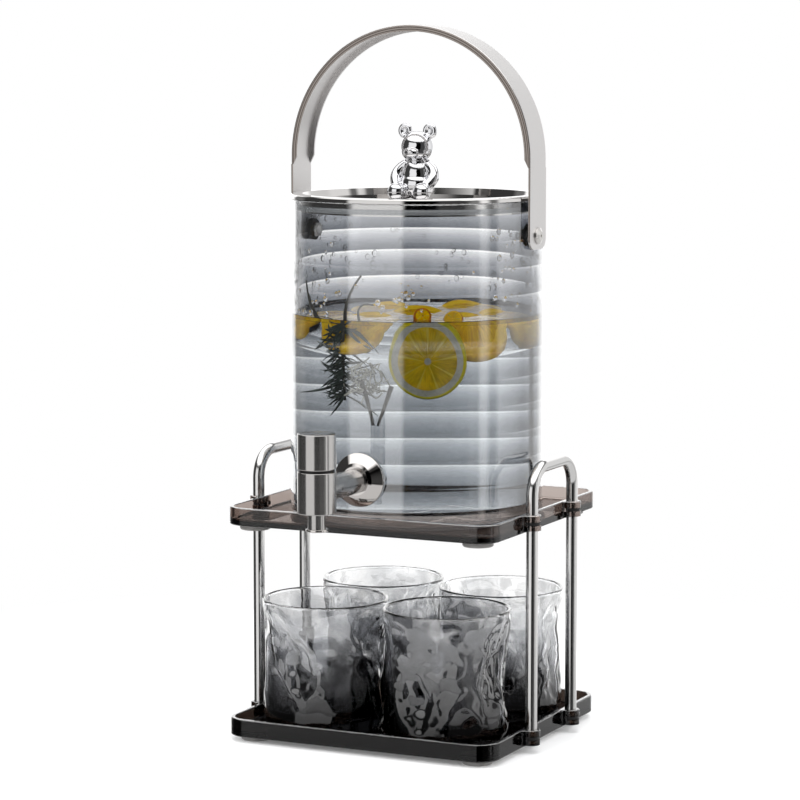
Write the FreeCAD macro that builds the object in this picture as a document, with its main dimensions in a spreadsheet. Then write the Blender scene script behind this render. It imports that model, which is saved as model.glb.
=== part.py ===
"""A glass drink dispenser: a two-tier tray stand, a glass jar with a tap, a lid, a bail handle and four cups.

Lengths are millimetres and +Z is up. The origin is on the ground under the middle of the whole object:
X = 0 is the plane of symmetry of the stand, jar and handle, and the tap points along -Y.
The stand, the jar and what is fixed to the jar are each drawn about their own axis and then placed.
"""
import FreeCAD, Part
import math
import os
import Sketcher

doc = FreeCAD.newDocument("GlassDispenser")
sheet = doc.addObject("Spreadsheet::Sheet", "Sizes")

# Driving sizes, in millimetres, degrees or plain counts
driving = {
    # Stand: two equal trays on two bent rods
    "tray_width": 172.0,
    "tray_depth": 163.0,
    "tray_corner": 13.0,
    "tray_rim": 10.5,
    "tray_floor": 2.6,
    "tray_wall": 2.6,
    "tray_cove": 1.8,
    "tray_edge": 0.9,
    "tray_rim_edge": 0.6,
    "tier_height": 125.6,
    "foot_height": 3.5,
    "foot_radius": 9.0,
    "foot_edge": 1.0,
    "foot_inset": 14.5,
    "rod_radius": 3.5,
    "rod_spacing": 60.0,
    "rod_offset": 3.0,
    "rod_bend": 16.0,
    "rod_rise": 29.6,
    "rod_fit": 0.1,
    "rod_seat": 1.0,
    "lug_radius": 5.3,
    "lug_height": 9.0,
    "lug_blend": 3.0,
    "lug_lower_ear": 2.9,
    "lug_ring_height": 2.0,
    "lug_ring_radius": 4.7,
    "lug_slot_play": 0.1,
    # Jar
    "jar_radius": 75.0,
    "jar_height": 186.5,
    "jar_wall": 3.6,
    "jar_base": 8.0,
    "jar_base_round": 4.0,
    "jar_inner_round": 3.0,
    "jar_punt_margin": 17.0,
    "jar_punt_depth": 1.2,
    "jar_mouth_round": 0.9,
    "jar_back": 3.5,
    "ripple_pitch": 15.9,
    "ripple_depth": 0.5,
    "ripple_first": 21.4,
    "ripple_count": 10,
    # Tap
    "tap_reach": 131.0,
    "tap_height": 28.3,
    "tap_radius": 11.0,
    "tap_body_height": 23.4,
    "tap_edge": 0.5,
    "tap_arm_radius": 7.1,
    "shank_radius": 6.0,
    "shank_bore": 4.0,
    "shank_grip": 14.0,
    "shank_inside": 13.5,
    "shank_hole_play": 1.0,
    "flange_radius": 15.6,
    "flange_lip": 1.8,
    "flange_height": 6.7,
    "flange_nose_radius": 10.2,
    "flange_seat": 1.0,
    "washer_thick": 1.5,
    "washer_radius": 14.6,
    "inner_washer_radius": 12.5,
    "inner_washer_thick": 3.4,
    "lock_nut_flats": 20.0,
    "lock_nut_thick": 5.0,
    "knob_height": 20.0,
    "knob_radius": 10.9,
    "knob_gap": 1.4,
    "knob_ring_radius": 10.0,
    "knob_ring_play": 0.15,
    "valve_radius": 6.4,
    "valve_fit": 0.06,
    "valve_port_radius": 3.0,
    "stem_radius": 3.0,
    "stem_length": 10.0,
    "nozzle_radius": 5.2,
    "nozzle_bore": 3.6,
    "nozzle_drop": 8.8,
    "nozzle_plug": 4.0,
    "tip_ring_radius": 6.4,
    "tip_ring_height": 1.6,
    "grub_radius": 1.5,
    "grub_place": 18.2,
    "grub_socket": 0.75,
    # Lid
    "lid_rim": 2.6,
    "lid_rim_width": 8.5,
    "lid_dish_depth": 4.0,
    "lid_sheet": 1.2,
    "lid_skirt_gap": 1.8,
    "lid_skirt": 7.6,
    "lid_roll": 1.2,
    "seal_height": 3.0,
    "seal_up": 1.0,
    "seal_play": 0.3,
    "lid_screw_radius": 2.0,
    "lid_screw_head": 4.0,
    "lid_screw_head_height": 2.4,
    "lid_screw_grip": 9.0,
    "lid_washer_radius": 6.0,
    "lid_washer_thick": 1.0,
    # Figure on the lid, a plain seated bear
    "bear_base_radius": 7.4,
    "bear_base": 2.0,
    "bear_body_up": 14.2,
    "bear_body_radius": 8.4,
    "bear_body_half_height": 12.4,
    "bear_head_up": 33.2,
    "bear_head_radius": 8.6,
    "bear_muzzle_radius": 3.9,
    "bear_muzzle_down": 2.3,
    "bear_nose_radius": 1.2,
    "bear_ear_radius": 4.1,
    "bear_ear_spread": 8.3,
    "bear_ear_up": 8.4,
    "bear_ear_rim": 1.35,
    "bear_joint_swell": 1.06,
    "bear_arm_radius": 3.0,
    "bear_arm_length": 12.6,
    "bear_arm_lean": 26.0,
    "bear_hand_spread": 10.2,
    "bear_hand_up": 10.4,
    "bear_leg_radius": 3.6,
    "bear_leg_length": 12.6,
    "bear_leg_splay": 25.0,
    "bear_hip_spread": 5.0,
    "bear_foot_radius": 4.3,
    "bear_foot_spread": 10.2,
    "bear_foot_forward": 12.6,
    # Bail handle
    "bail_gap": 1.3,
    "bail_sheet": 1.2,
    "bail_width": 23.4,
    "bail_rise": 44.2,
    "bail_flange": 3.8,
    "bail_flange_fade": 5.0,
    "bail_tail": 7.9,
    "bail_end_round": 6.5,
    "bail_edge": 0.9,
    "pivot_drop": 20.5,
    "pivot_radius": 2.5,
    "pivot_fit": 0.06,
    "pivot_hole_play": 0.5,
    "pivot_head_radius": 4.8,
    "pivot_head_height": 2.0,
    "pivot_head_dimple": 0.8,
    "pivot_spacer_radius": 6.0,
    "pivot_play": 0.1,
    "pivot_grommet_radius": 6.6,
    "pivot_grommet_thick": 2.4,
    "pivot_nut_flats": 8.0,
    "pivot_nut_thick": 3.0,
    # Cups
    "cup_height": 77.0,
    "cup_rim_radius": 37.6,
    "cup_belly_radius": 38.4,
    "cup_foot_radius": 33.5,
    "cup_heel_height": 9.0,
    "cup_belly_height": 40.0,
    "cup_wall": 2.2,
    "cup_base": 7.0,
    "cup_pitch_x": 79.0,
    "cup_pitch_y": 78.6,
    "fold_count": 3,
    "fold_across": 55.0,
    "fold_tall": 68.0,
    "fold_depth": 5.6,
    "fold_lean": 16.0,
    "fold_height": 37.0,
    "fold_stagger": 7.0,
    "nick_radius": 21.0,
    "nick_depth": 3.0,
    "nick_low": 15.0,
    "nick_high": 61.0,
}


class Size:
    """A length that carries both its number and the expression that ties it to the sheet."""

    def __init__(self, text, value):
        self.text = text
        self.value = value

    @staticmethod
    def of(other):
        return other if isinstance(other, Size) else Size(repr(float(other)), float(other))

    def __add__(self, other):
        other = Size.of(other)
        return Size(f"({self.text} + {other.text})", self.value + other.value)

    def __sub__(self, other):
        other = Size.of(other)
        return Size(f"({self.text} - {other.text})", self.value - other.value)

    def __mul__(self, other):
        other = Size.of(other)
        return Size(f"({self.text} * {other.text})", self.value * other.value)

    def __truediv__(self, other):
        other = Size.of(other)
        return Size(f"({self.text} / {other.text})", self.value / other.value)

    def __neg__(self):
        return Size(f"(0 - {self.text})", -self.value)

    def __radd__(self, other):
        return Size.of(other) + self

    def __rsub__(self, other):
        return Size.of(other) - self

    def __rmul__(self, other):
        return Size.of(other) * self


def square_root(size):
    return Size(f"sqrt({size.text})", math.sqrt(size.value))


def sine(size):
    return Size(f"sin({size.text} * 1 deg)", math.sin(math.radians(size.value)))


def cosine(size):
    return Size(f"cos({size.text} * 1 deg)", math.cos(math.radians(size.value)))


class Sizes:
    """Writes the driving sizes to the sheet and hands each one back as a Size."""

    def __init__(self, values):
        for row, (alias, number) in enumerate(values.items(), start=1):
            sheet.set(f"A{row}", alias)
            sheet.set(f"B{row}", str(number))
            sheet.setAlias(f"B{row}", alias)
            setattr(self, alias, Size(f"Sizes.{alias}", float(number)))


s = Sizes(driving)
doc.recompute()


# Levels and places that follow from the driving sizes
stand_y = (s.tap_reach + s.tap_radius - s.jar_back - s.tray_depth / 2) / 2
jar_y = stand_y + s.jar_back
jar_z = s.foot_height + s.tier_height + s.tray_floor
rod_x = s.tray_width / 2 + s.rod_offset
rod_y = s.rod_spacing / 2
rod_hole = s.rod_radius + s.rod_fit
lug_bottom = s.tray_rim - s.lug_height
slot_bottom = lug_bottom + s.lug_lower_ear
slot_height = s.lug_ring_height + 2 * s.lug_slot_play
jar_inner = s.jar_radius - s.jar_wall
punt_radius = s.jar_radius - s.jar_punt_margin
tap_bottom = s.tap_height - s.tap_body_height / 2
tap_top = s.tap_height + s.tap_body_height / 2
knob_bottom = tap_top + s.knob_gap
flange_back = s.jar_radius + s.washer_thick
arm_end = flange_back + s.flange_height - s.flange_seat
bail_inner = s.jar_radius + s.bail_gap
bail_outer = bail_inner + s.bail_sheet
pivot_height = s.jar_height - s.pivot_drop
spring_height = pivot_height + s.bail_rise
bail_foot = spring_height - s.bail_flange_fade
dish_radius = s.jar_radius - s.lid_rim_width
skirt_radius = jar_inner - s.lid_skirt_gap
dish_floor = s.jar_height + s.lid_rim - s.lid_dish_depth
dish_under = dish_floor - s.lid_sheet


# Building blocks
def bind(thing, prop, size):
    """Ties one property of an object to the sheet."""
    thing.setExpression(prop, Size.of(size).text)


def place(thing, x=0, y=0, z=0):
    """Ties an object's position to the sheet."""
    for axis, size in (("x", x), ("y", y), ("z", z)):
        bind(thing, f"Placement.Base.{axis}", size)


def new_body(name):
    body = doc.addObject("PartDesign::Body", name)
    body.Label = name
    body.AllowCompound = True
    return body


def new_sketch(body, name, plane, offset=0):
    """Adds a sketch on one of the body's origin planes, raised by an offset along the plane's normal."""
    sketch = body.newObject("Sketcher::SketchObject", name)
    role = f"{plane}_Plane"
    face = next(item for item in body.Origin.OriginFeatures if item.Role == role)
    sketch.AttachmentSupport = [(face, "")]
    sketch.MapMode = "FlatFace"
    bind(sketch, "AttachmentOffset.Base.z", offset)
    return sketch


def pin(sketch, geometry, end, x, y):
    """Holds a point of the sketch at a place given from the sketch's origin."""
    for kind, size, axis in (("DistanceX", x, -2), ("DistanceY", y, -1)):
        size = Size.of(size)
        if size.value == 0.0:
            sketch.addConstraint(Sketcher.Constraint("PointOnObject", geometry, end, axis))
            continue
        index = sketch.addConstraint(Sketcher.Constraint(kind, -1, 1, geometry, end, size.value))
        sketch.setExpression(f"Constraints[{index}]", size.text)


def vector(x, y):
    return FreeCAD.Vector(Size.of(x).value, Size.of(y).value, 0)


def draw_outline(sketch, corners):
    """Draws a closed outline of straight runs through the corners."""
    count = len(corners)
    lines = []
    for index, corner in enumerate(corners):
        following = corners[(index + 1) % count]
        lines.append(sketch.addGeometry(Part.LineSegment(vector(*corner), vector(*following)), False))
    for index, line in enumerate(lines):
        sketch.addConstraint(Sketcher.Constraint("Coincident", line, 2, lines[(index + 1) % count], 1))
    for line, corner in zip(lines, corners):
        pin(sketch, line, 1, *corner)


def draw_circle(sketch, x, y, radius):
    radius = Size.of(radius)
    circle = sketch.addGeometry(Part.Circle(vector(x, y), FreeCAD.Vector(0, 0, 1), radius.value), False)
    index = sketch.addConstraint(Sketcher.Constraint("Radius", circle, radius.value))
    sketch.setExpression(f"Constraints[{index}]", radius.text)
    pin(sketch, circle, 3, x, y)


def draw_box(sketch, x_low, x_high, y_low, y_high):
    draw_outline(sketch, [(x_low, y_low), (x_high, y_low), (x_high, y_high), (x_low, y_high)])


def pad(body, sketch, length, both_ways=False):
    feature = body.newObject("PartDesign::Pad", f"{sketch.Name}Pad")
    feature.Profile = sketch
    bind(feature, "Length", length)
    feature.SideType = "Symmetric" if both_ways else "One side"
    sketch.Visibility = False
    return feature


def pocket(body, sketch, length, both_ways=False, reverse=False):
    """Cuts a sketch out of the body; reverse sends the cut along the plane's normal."""
    feature = body.newObject("PartDesign::Pocket", f"{sketch.Name}Pocket")
    feature.Profile = sketch
    feature.SideType = "Symmetric" if both_ways else "One side"
    feature.Reversed = reverse
    bind(feature, "Length", length)
    cut_volume(feature)
    return feature


def cut_volume(feature):
    """Stops the build if a cut took nothing away."""
    doc.recompute()
    before = feature.BaseFeature.Shape.Volume
    if not feature.Shape.Volume < before - 1e-6:
        raise RuntimeError(f"{feature.Name} cuts nothing")


def turn(body, sketch, axis="V_Axis"):
    """Revolves a sketch a full turn about one of its own axes."""
    feature = body.newObject("PartDesign::Revolution", f"{sketch.Name}Turn")
    feature.Profile = sketch
    feature.ReferenceAxis = (sketch, [axis])
    feature.Angle = 360.0
    return feature


def groove(body, sketch, axis="V_Axis"):
    feature = body.newObject("PartDesign::Groove", f"{sketch.Name}Groove")
    feature.Profile = sketch
    feature.ReferenceAxis = (sketch, [axis])
    feature.Angle = 360.0
    cut_volume(feature)
    return feature


def round_edges(body, name, radius, wanted):
    """Rounds the edges of the body's tip that the test picks."""
    doc.recompute()
    base = body.Tip
    names = [f"Edge{number}" for number, edge in enumerate(base.Shape.Edges, start=1) if wanted(edge)]
    if not names:
        raise RuntimeError(f"{name} finds no edge")
    feature = body.newObject("PartDesign::Fillet", name)
    feature.Base = (base, names)
    bind(feature, "Radius", radius)
    doc.recompute()
    return feature


def repeat(body, name, originals, axis, length, count):
    """Repeats features along one of the body's own axes; length spans from the first to the last."""
    feature = body.newObject("PartDesign::LinearPattern", name)
    feature.Originals = originals
    role = f"{axis}_Axis"
    feature.Direction = (next(item for item in body.Origin.OriginFeatures if item.Role == role), [""])
    bind(feature, "Length", length)
    bind(feature, "Occurrences", count)
    body.Tip = feature
    return feature


def mirror(body, name, originals, plane):
    feature = body.newObject("PartDesign::Mirrored", name)
    feature.Originals = originals
    role = f"{plane}_Plane"
    feature.MirrorPlane = (next(item for item in body.Origin.OriginFeatures if item.Role == role), [""])
    body.Tip = feature
    return feature


def is_upright(edge, tolerance=1e-3):
    """True for a straight edge that runs along Z."""
    if not isinstance(edge.Curve, (Part.Line, Part.LineSegment)):
        return False
    start, end = edge.Vertexes[0].Point, edge.Vertexes[-1].Point
    return math.hypot(start.x - end.x, start.y - end.y) < tolerance and abs(start.z - end.z) > tolerance


def lies_at(edge, z, tolerance=1e-3):
    """True for an edge that lies flat at one height."""
    box = edge.BoundBox
    return abs(box.ZMin - z) < tolerance and abs(box.ZMax - z) < tolerance


def stands_at(edge, x, y, tolerance=1e-3):
    """True for an edge that starts over the given place, or over its mirror images."""
    point = edge.Vertexes[0].Point
    return (abs(abs(point.x) - Size.of(x).value) < tolerance
            and abs(abs(point.y) - Size.of(y).value) < tolerance)


# Stand
def make_tray(name, level, hole_floor):
    """A moulded tray with four eared lugs; hole_floor is what stays of a lug under its rod."""
    body = new_body(name)
    half_width, half_depth = s.tray_width / 2, s.tray_depth / 2

    slab = new_sketch(body, f"{name}Slab", "XY")
    draw_box(slab, -half_width, half_width, -half_depth, half_depth)
    pad(body, slab, s.tray_rim)
    recess = new_sketch(body, f"{name}Recess", "XY", s.tray_floor)
    inner_x, inner_y = half_width - s.tray_wall, half_depth - s.tray_wall
    draw_box(recess, -inner_x, inner_x, -inner_y, inner_y)
    pocket(body, recess, s.tray_rim, reverse=True)
    round_edges(body, f"{name}RecessCorners", s.tray_corner - s.tray_wall,
                lambda edge: is_upright(edge) and stands_at(edge, inner_x, inner_y))
    round_edges(body, f"{name}Corners", s.tray_corner,
                lambda edge: is_upright(edge) and stands_at(edge, half_width, half_depth))
    round_edges(body, f"{name}Cove", s.tray_cove, lambda edge: lies_at(edge, s.tray_floor.value))

    lugs = new_sketch(body, f"{name}Lugs", "XY", lug_bottom)
    for x in (-rod_x, rod_x):
        for y in (-rod_y, rod_y):
            draw_circle(lugs, x, y, s.lug_radius)
    pad(body, lugs, s.lug_height)
    root_y = square_root(s.lug_radius * s.lug_radius - s.rod_offset * s.rod_offset)
    round_edges(body, f"{name}LugBlends", s.lug_blend,
                lambda edge: is_upright(edge) and (stands_at(edge, half_width, rod_y - root_y)
                                                   or stands_at(edge, half_width, rod_y + root_y)))
    round_edges(body, f"{name}Rim", s.tray_rim_edge, lambda edge: lies_at(edge, s.tray_rim.value))
    round_edges(body, f"{name}Bottom", s.tray_edge, lambda edge: lies_at(edge, 0.0))

    slots = new_sketch(body, f"{name}Slots", "XY", slot_bottom)
    near, far = rod_x - s.lug_ring_radius - s.lug_slot_play, rod_x + s.lug_radius * 2
    for low, high in ((near, far), (-far, -near)):
        for y in (-rod_y, rod_y):
            draw_box(slots, low, high, y - s.lug_radius, y + s.lug_radius)
    pocket(body, slots, slot_height, reverse=True)
    holes = new_sketch(body, f"{name}RodHoles", "XY", lug_bottom + hole_floor)
    for x in (-rod_x, rod_x):
        for y in (-rod_y, rod_y):
            draw_circle(holes, x, y, rod_hole)
    pocket(body, holes, s.tray_rim * 2, reverse=True)
    place(body, 0, stand_y, level)
    return body


def make_feet(name, level):
    """Four round pads under a tray's corners."""
    body = new_body(name)
    x, y = s.tray_width / 2 - s.foot_inset, s.tray_depth / 2 - s.foot_inset
    discs = new_sketch(body, f"{name}Discs", "XY")
    for across in (-x, x):
        for along in (-y, y):
            draw_circle(discs, across, along, s.foot_radius)
    pad(body, discs, s.foot_height)
    round_edges(body, f"{name}Edge", s.foot_edge, lambda edge: lies_at(edge, 0.0))
    place(body, 0, stand_y, level)
    return body


def make_rod(name, side):
    """One rod bent into an upside-down U, whose legs pass through the upper tray to the lower one."""
    body = new_body(name)
    foot = s.foot_height + lug_bottom + s.rod_seat
    crown = s.foot_height + s.tier_height + s.tray_rim + s.rod_rise - s.rod_radius
    shoulder, inset = crown - s.rod_bend, rod_y - s.rod_bend

    path = new_sketch(body, f"{name}Path", "YZ")
    points = [
        (-rod_y, foot), (-rod_y, shoulder), (-inset, crown),
        (inset, crown), (rod_y, shoulder), (rod_y, foot),
    ]
    flat = [vector(*point) for point in points]
    lean = s.rod_bend.value * (1 - math.sqrt(0.5))
    left_mid = flat[1] + FreeCAD.Vector(lean, s.rod_bend.value - lean, 0)
    right_mid = flat[4] + FreeCAD.Vector(-lean, s.rod_bend.value - lean, 0)
    leg = path.addGeometry(Part.LineSegment(flat[0], flat[1]), False)
    bend = path.addGeometry(Part.Arc(flat[1], left_mid, flat[2]), False)
    top = path.addGeometry(Part.LineSegment(flat[2], flat[3]), False)
    far_bend = path.addGeometry(Part.Arc(flat[3], right_mid, flat[4]), False)
    far_leg = path.addGeometry(Part.LineSegment(flat[4], flat[5]), False)
    for geometry, end, point in ((leg, 1, points[0]), (leg, 2, points[1]), (top, 1, points[2]),
                                 (top, 2, points[3]), (far_leg, 1, points[4]), (far_leg, 2, points[5])):
        pin(path, geometry, end, *point)
    for arc, before, after in ((bend, leg, top), (far_bend, top, far_leg)):
        ends = {1: path.getPoint(arc, 1), 2: path.getPoint(arc, 2)}
        start = 1 if ends[1].distanceToPoint(path.getPoint(before, 2)) < 1e-6 else 2
        path.addConstraint(Sketcher.Constraint("Coincident", before, 2, arc, start))
        path.addConstraint(Sketcher.Constraint("Coincident", after, 1, arc, 3 - start))
        index = path.addConstraint(Sketcher.Constraint("Radius", arc, s.rod_bend.value))
        path.setExpression(f"Constraints[{index}]", s.rod_bend.text)

    section = new_sketch(body, f"{name}Section", "XY", foot)
    draw_circle(section, 0, -rod_y, s.rod_radius)
    pipe = body.newObject("PartDesign::AdditivePipe", f"{name}Pipe")
    pipe.Profile = section
    pipe.Spine = (path, [])
    place(body, rod_x * side, stand_y, 0)
    return body


def make_lug_rings(name, level):
    """Rubber rings that grip the rods between the two ears of each lug."""
    body = new_body(name)
    rings = new_sketch(body, f"{name}Rings", "XY", slot_bottom + s.lug_slot_play)
    for x in (-rod_x, rod_x):
        for y in (-rod_y, rod_y):
            draw_circle(rings, x, y, s.lug_ring_radius)
            draw_circle(rings, x, y, s.rod_radius + s.rod_fit / 2)
    pad(body, rings, s.lug_ring_height)
    place(body, 0, stand_y, level)
    return body


# Jar, and what is screwed to it
def place_on_jar(thing):
    place(thing, 0, jar_y, jar_z)


def make_jar():
    """A straight jar with a thick base and a stack of shallow rings on the inside of its wall."""
    body = new_body("glass_jar")
    wall = new_sketch(body, "JarProfile", "XZ")
    draw_outline(wall, [
        (0, s.jar_punt_depth),
        (punt_radius, s.jar_punt_depth),
        (punt_radius + s.jar_punt_depth, 0),
        (s.jar_radius, 0),
        (s.jar_radius, s.jar_height),
        (jar_inner, s.jar_height),
        (jar_inner, s.jar_base),
        (0, s.jar_base),
    ])
    turn(body, wall)
    round_edges(body, "JarFoot", s.jar_base_round,
                lambda edge: lies_at(edge, 0.0) and edge.BoundBox.XMax > s.jar_radius.value - 1e-3)
    round_edges(body, "JarHeel", s.jar_inner_round, lambda edge: lies_at(edge, s.jar_base.value))
    round_edges(body, "JarMouth", s.jar_mouth_round, lambda edge: lies_at(edge, s.jar_height.value))

    ring = new_sketch(body, "JarRing", "XZ")
    draw_outline(ring, [
        (jar_inner - s.ripple_depth, s.ripple_first),
        (jar_inner + s.ripple_depth, s.ripple_first),
        (jar_inner, s.ripple_first - s.ripple_pitch * 0.9),
        (jar_inner - s.ripple_depth, s.ripple_first - s.ripple_pitch * 0.9),
    ])
    first = groove(body, ring)
    repeat(body, "JarRings", [first], "Z", s.ripple_pitch * (s.ripple_count - 1), s.ripple_count)

    spout = new_sketch(body, "JarSpoutHole", "XZ")
    draw_circle(spout, 0, s.tap_height, s.shank_radius + s.shank_hole_play)
    pocket(body, spout, s.jar_radius + s.jar_wall, reverse=True)
    pivots = new_sketch(body, "JarPivotHoles", "YZ")
    draw_circle(pivots, 0, pivot_height, s.pivot_radius + s.pivot_hole_play)
    pocket(body, pivots, 2 * (s.jar_radius + s.jar_wall), both_ways=True)
    place_on_jar(body)
    return body


def ring_along_y(name, outer, inner, near, far):
    """A plain ring about the tap's level axis, from near to far in front of the jar's axis."""
    body = new_body(name)
    outline = new_sketch(body, f"{name}Outline", "XZ", near)
    draw_circle(outline, 0, s.tap_height, outer)
    draw_circle(outline, 0, s.tap_height, inner)
    pad(body, outline, far - near)
    return body


def jar_core(name, radius):
    """A plain solid cylinder on the jar's axis, for cutting what bears on the curved wall."""
    core = doc.addObject("Part::Cylinder", name)
    bind(core, "Radius", radius)
    bind(core, "Height", s.jar_height)
    return core


def combine(kind, name, base, tool):
    result = doc.addObject(f"Part::{kind}", name)
    result.Label = name
    result.Base, result.Tool = base, tool
    return result


def make_tap_washers():
    """The soft washers on both sides of the glass; each is shaped to the curve of the wall."""
    shank_hole = s.shank_radius + s.rod_fit
    outer_blank = ring_along_y("OuterWasherBlank", s.washer_radius, shank_hole,
                               s.jar_radius - s.washer_thick * 2, flange_back)
    outer = combine("Cut", "tap_outer_washer", outer_blank, jar_core("OuterWasherCore", s.jar_radius))
    inner_face = jar_inner - s.inner_washer_thick
    inner_blank = ring_along_y("InnerWasherBlank", s.inner_washer_radius, shank_hole,
                               inner_face, jar_inner + s.washer_thick)
    inner = combine("Common", "tap_inner_washer", inner_blank, jar_core("InnerWasherCore", jar_inner))
    place_on_jar(outer)
    place_on_jar(inner)
    return [outer, inner]


def make_flange():
    """The polished collar that covers the hole: a thin lip, a cone and a blunt nose."""
    body = new_body("tap_flange")
    outline = new_sketch(body, "FlangeOutline", "YZ")
    hole = s.shank_radius + s.rod_fit
    nose = flange_back + s.flange_height
    seat_radius = s.tap_arm_radius + s.rod_fit
    corners = [
        (flange_back, hole), (arm_end, hole), (arm_end, seat_radius), (nose, seat_radius),
        (nose, s.flange_nose_radius - s.flange_lip), (nose - s.flange_lip / 2, s.flange_nose_radius),
        (flange_back + s.flange_lip, s.flange_radius), (flange_back, s.flange_radius),
    ]
    draw_outline(outline, [(-along, out) for along, out in corners])
    turn(body, outline, "H_Axis")
    round_edges(body, "FlangeLip", s.tap_edge,
                lambda edge: abs(edge.BoundBox.ZMax - s.flange_radius.value) < 1e-3)
    place(body, 0, jar_y, jar_z + s.tap_height)
    return body


def make_shank():
    """The threaded tube that carries the drink through the wall."""
    body = new_body("tap_shank")
    outline = new_sketch(body, "ShankOutline", "YZ")
    outer_end = arm_end + s.shank_grip
    inner_end = jar_inner - s.shank_inside
    chamfer = s.tap_edge
    corners = [
        (inner_end, s.shank_bore), (outer_end, s.shank_bore), (outer_end, s.shank_radius),
        (inner_end + chamfer, s.shank_radius), (inner_end, s.shank_radius - chamfer),
    ]
    draw_outline(outline, [(-along, out) for along, out in corners])
    turn(body, outline, "H_Axis")
    place(body, 0, jar_y, jar_z + s.tap_height)
    return body


def hexagon(sketch, y, flats):
    """Draws a hexagon with two level flats about a point on the sketch's upright axis."""
    half = flats / 2
    corner = flats * (1 / math.sqrt(3))
    draw_outline(sketch, [
        (corner, y), (corner / 2, y + half), (-corner / 2, y + half),
        (-corner, y), (-corner / 2, y - half), (corner / 2, y - half),
    ])


def make_lock_nut():
    """The hexagon nut inside the jar that draws the flange against the glass."""
    body = new_body("tap_lock_nut")
    front = jar_inner - s.inner_washer_thick
    outline = new_sketch(body, "LockNutOutline", "XZ", front - s.lock_nut_thick)
    hexagon(outline, s.tap_height, s.lock_nut_flats)
    draw_circle(outline, 0, s.tap_height, s.shank_radius + s.rod_fit)
    pad(body, outline, s.lock_nut_thick)
    place_on_jar(body)
    return body


def make_tap_body():
    """The upright barrel, bored right through for the valve and the nozzle, and its level arm."""
    body = new_body("tap_body")
    barrel = new_sketch(body, "BarrelProfile", "XZ")
    draw_outline(barrel, [(0, tap_bottom), (s.tap_radius, tap_bottom), (s.tap_radius, tap_top), (0, tap_top)])
    turn(body, barrel)
    round_edges(body, "BarrelEdges", s.tap_edge, lambda edge: edge.BoundBox.ZLength < 1e-3)

    arm = new_sketch(body, "ArmOutline", "XZ", arm_end - s.tap_reach)
    draw_circle(arm, 0, s.tap_height, s.tap_arm_radius)
    pad(body, arm, s.tap_reach - arm_end)

    valve_bore = new_sketch(body, "ValveBore", "XY", tap_bottom)
    draw_circle(valve_bore, 0, 0, s.valve_radius + s.valve_fit)
    pocket(body, valve_bore, s.tap_body_height, reverse=True)

    inlet = new_sketch(body, "InletBore", "XZ", arm_end - s.tap_reach)
    draw_circle(inlet, 0, s.tap_height, s.valve_port_radius)
    pocket(body, inlet, s.tap_reach - arm_end, reverse=True)
    shank_seat = new_sketch(body, "ShankSeat", "XZ", arm_end - s.tap_reach)
    draw_circle(shank_seat, 0, s.tap_height, s.shank_radius + s.rod_fit)
    pocket(body, shank_seat, s.shank_grip, reverse=True)
    grub_hole = new_sketch(body, "GrubHole", "YZ")
    draw_circle(grub_hole, s.grub_place, s.tap_height, s.grub_radius)
    pocket(body, grub_hole, s.tap_arm_radius, reverse=True)
    place(body, 0, jar_y - s.tap_reach, jar_z)
    return body


def make_nozzle():
    """The short tube that the drink leaves by, with the plug that closes the barrel from below."""
    body = new_body("tap_nozzle")
    tip, plug_top = tap_bottom - s.nozzle_drop, tap_bottom + s.nozzle_plug
    outline = new_sketch(body, "NozzleOutline", "XZ")
    draw_outline(outline, [
        (s.nozzle_bore, tip), (s.nozzle_radius, tip), (s.nozzle_radius, tap_bottom),
        (s.valve_radius, tap_bottom), (s.valve_radius, plug_top), (s.nozzle_bore, plug_top),
    ])
    turn(body, outline)
    place(body, 0, jar_y - s.tap_reach, jar_z)
    return body


def make_tip_ring():
    """The beaded ring round the nozzle's mouth."""
    body = new_body("tap_tip_ring")
    low = tap_bottom - s.nozzle_drop - s.tip_ring_height
    outline = new_sketch(body, "TipRingOutline", "XZ")
    draw_outline(outline, [
        (s.nozzle_bore, low), (s.tip_ring_radius, low),
        (s.tip_ring_radius, low + s.tip_ring_height), (s.nozzle_bore, low + s.tip_ring_height),
    ])
    turn(body, outline)
    round_edges(body, "TipRingEdge", s.tap_edge,
                lambda edge: edge.BoundBox.XMax > s.tip_ring_radius.value - 1e-3
                and edge.BoundBox.ZLength < 1e-3)
    place(body, 0, jar_y - s.tap_reach, jar_z)
    return body


def make_knob_ring():
    """The black ring that shows between the barrel and the knob."""
    body = new_body("tap_knob_ring")
    outline = new_sketch(body, "KnobRingOutline", "XY", tap_top)
    draw_circle(outline, 0, 0, s.knob_ring_radius)
    draw_circle(outline, 0, 0, s.valve_radius + s.valve_fit * 2)
    pad(body, outline, s.knob_gap - s.knob_ring_play)
    place(body, 0, jar_y - s.tap_reach, jar_z)
    return body


def make_valve():
    """The turning plug: its side port faces the arm once the knob has made a quarter turn."""
    body = new_body("tap_valve")
    floor = tap_bottom + s.nozzle_plug
    plug_top = tap_top + s.knob_gap
    outline = new_sketch(body, "ValveOutline", "XZ")
    draw_outline(outline, [
        (0, floor + s.knob_ring_play), (s.valve_radius, floor + s.knob_ring_play),
        (s.valve_radius, plug_top), (s.stem_radius, plug_top),
        (s.stem_radius, plug_top + s.stem_length), (0, plug_top + s.stem_length),
    ])
    turn(body, outline)
    drop = new_sketch(body, "ValveDrop", "XY", floor)
    draw_circle(drop, 0, 0, s.valve_port_radius)
    pocket(body, drop, s.tap_height - floor, reverse=True)
    port = new_sketch(body, "ValvePort", "YZ")
    draw_circle(port, 0, s.tap_height, s.valve_port_radius)
    pocket(body, port, s.tap_radius, reverse=True)
    place(body, 0, jar_y - s.tap_reach, jar_z)
    return body


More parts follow.
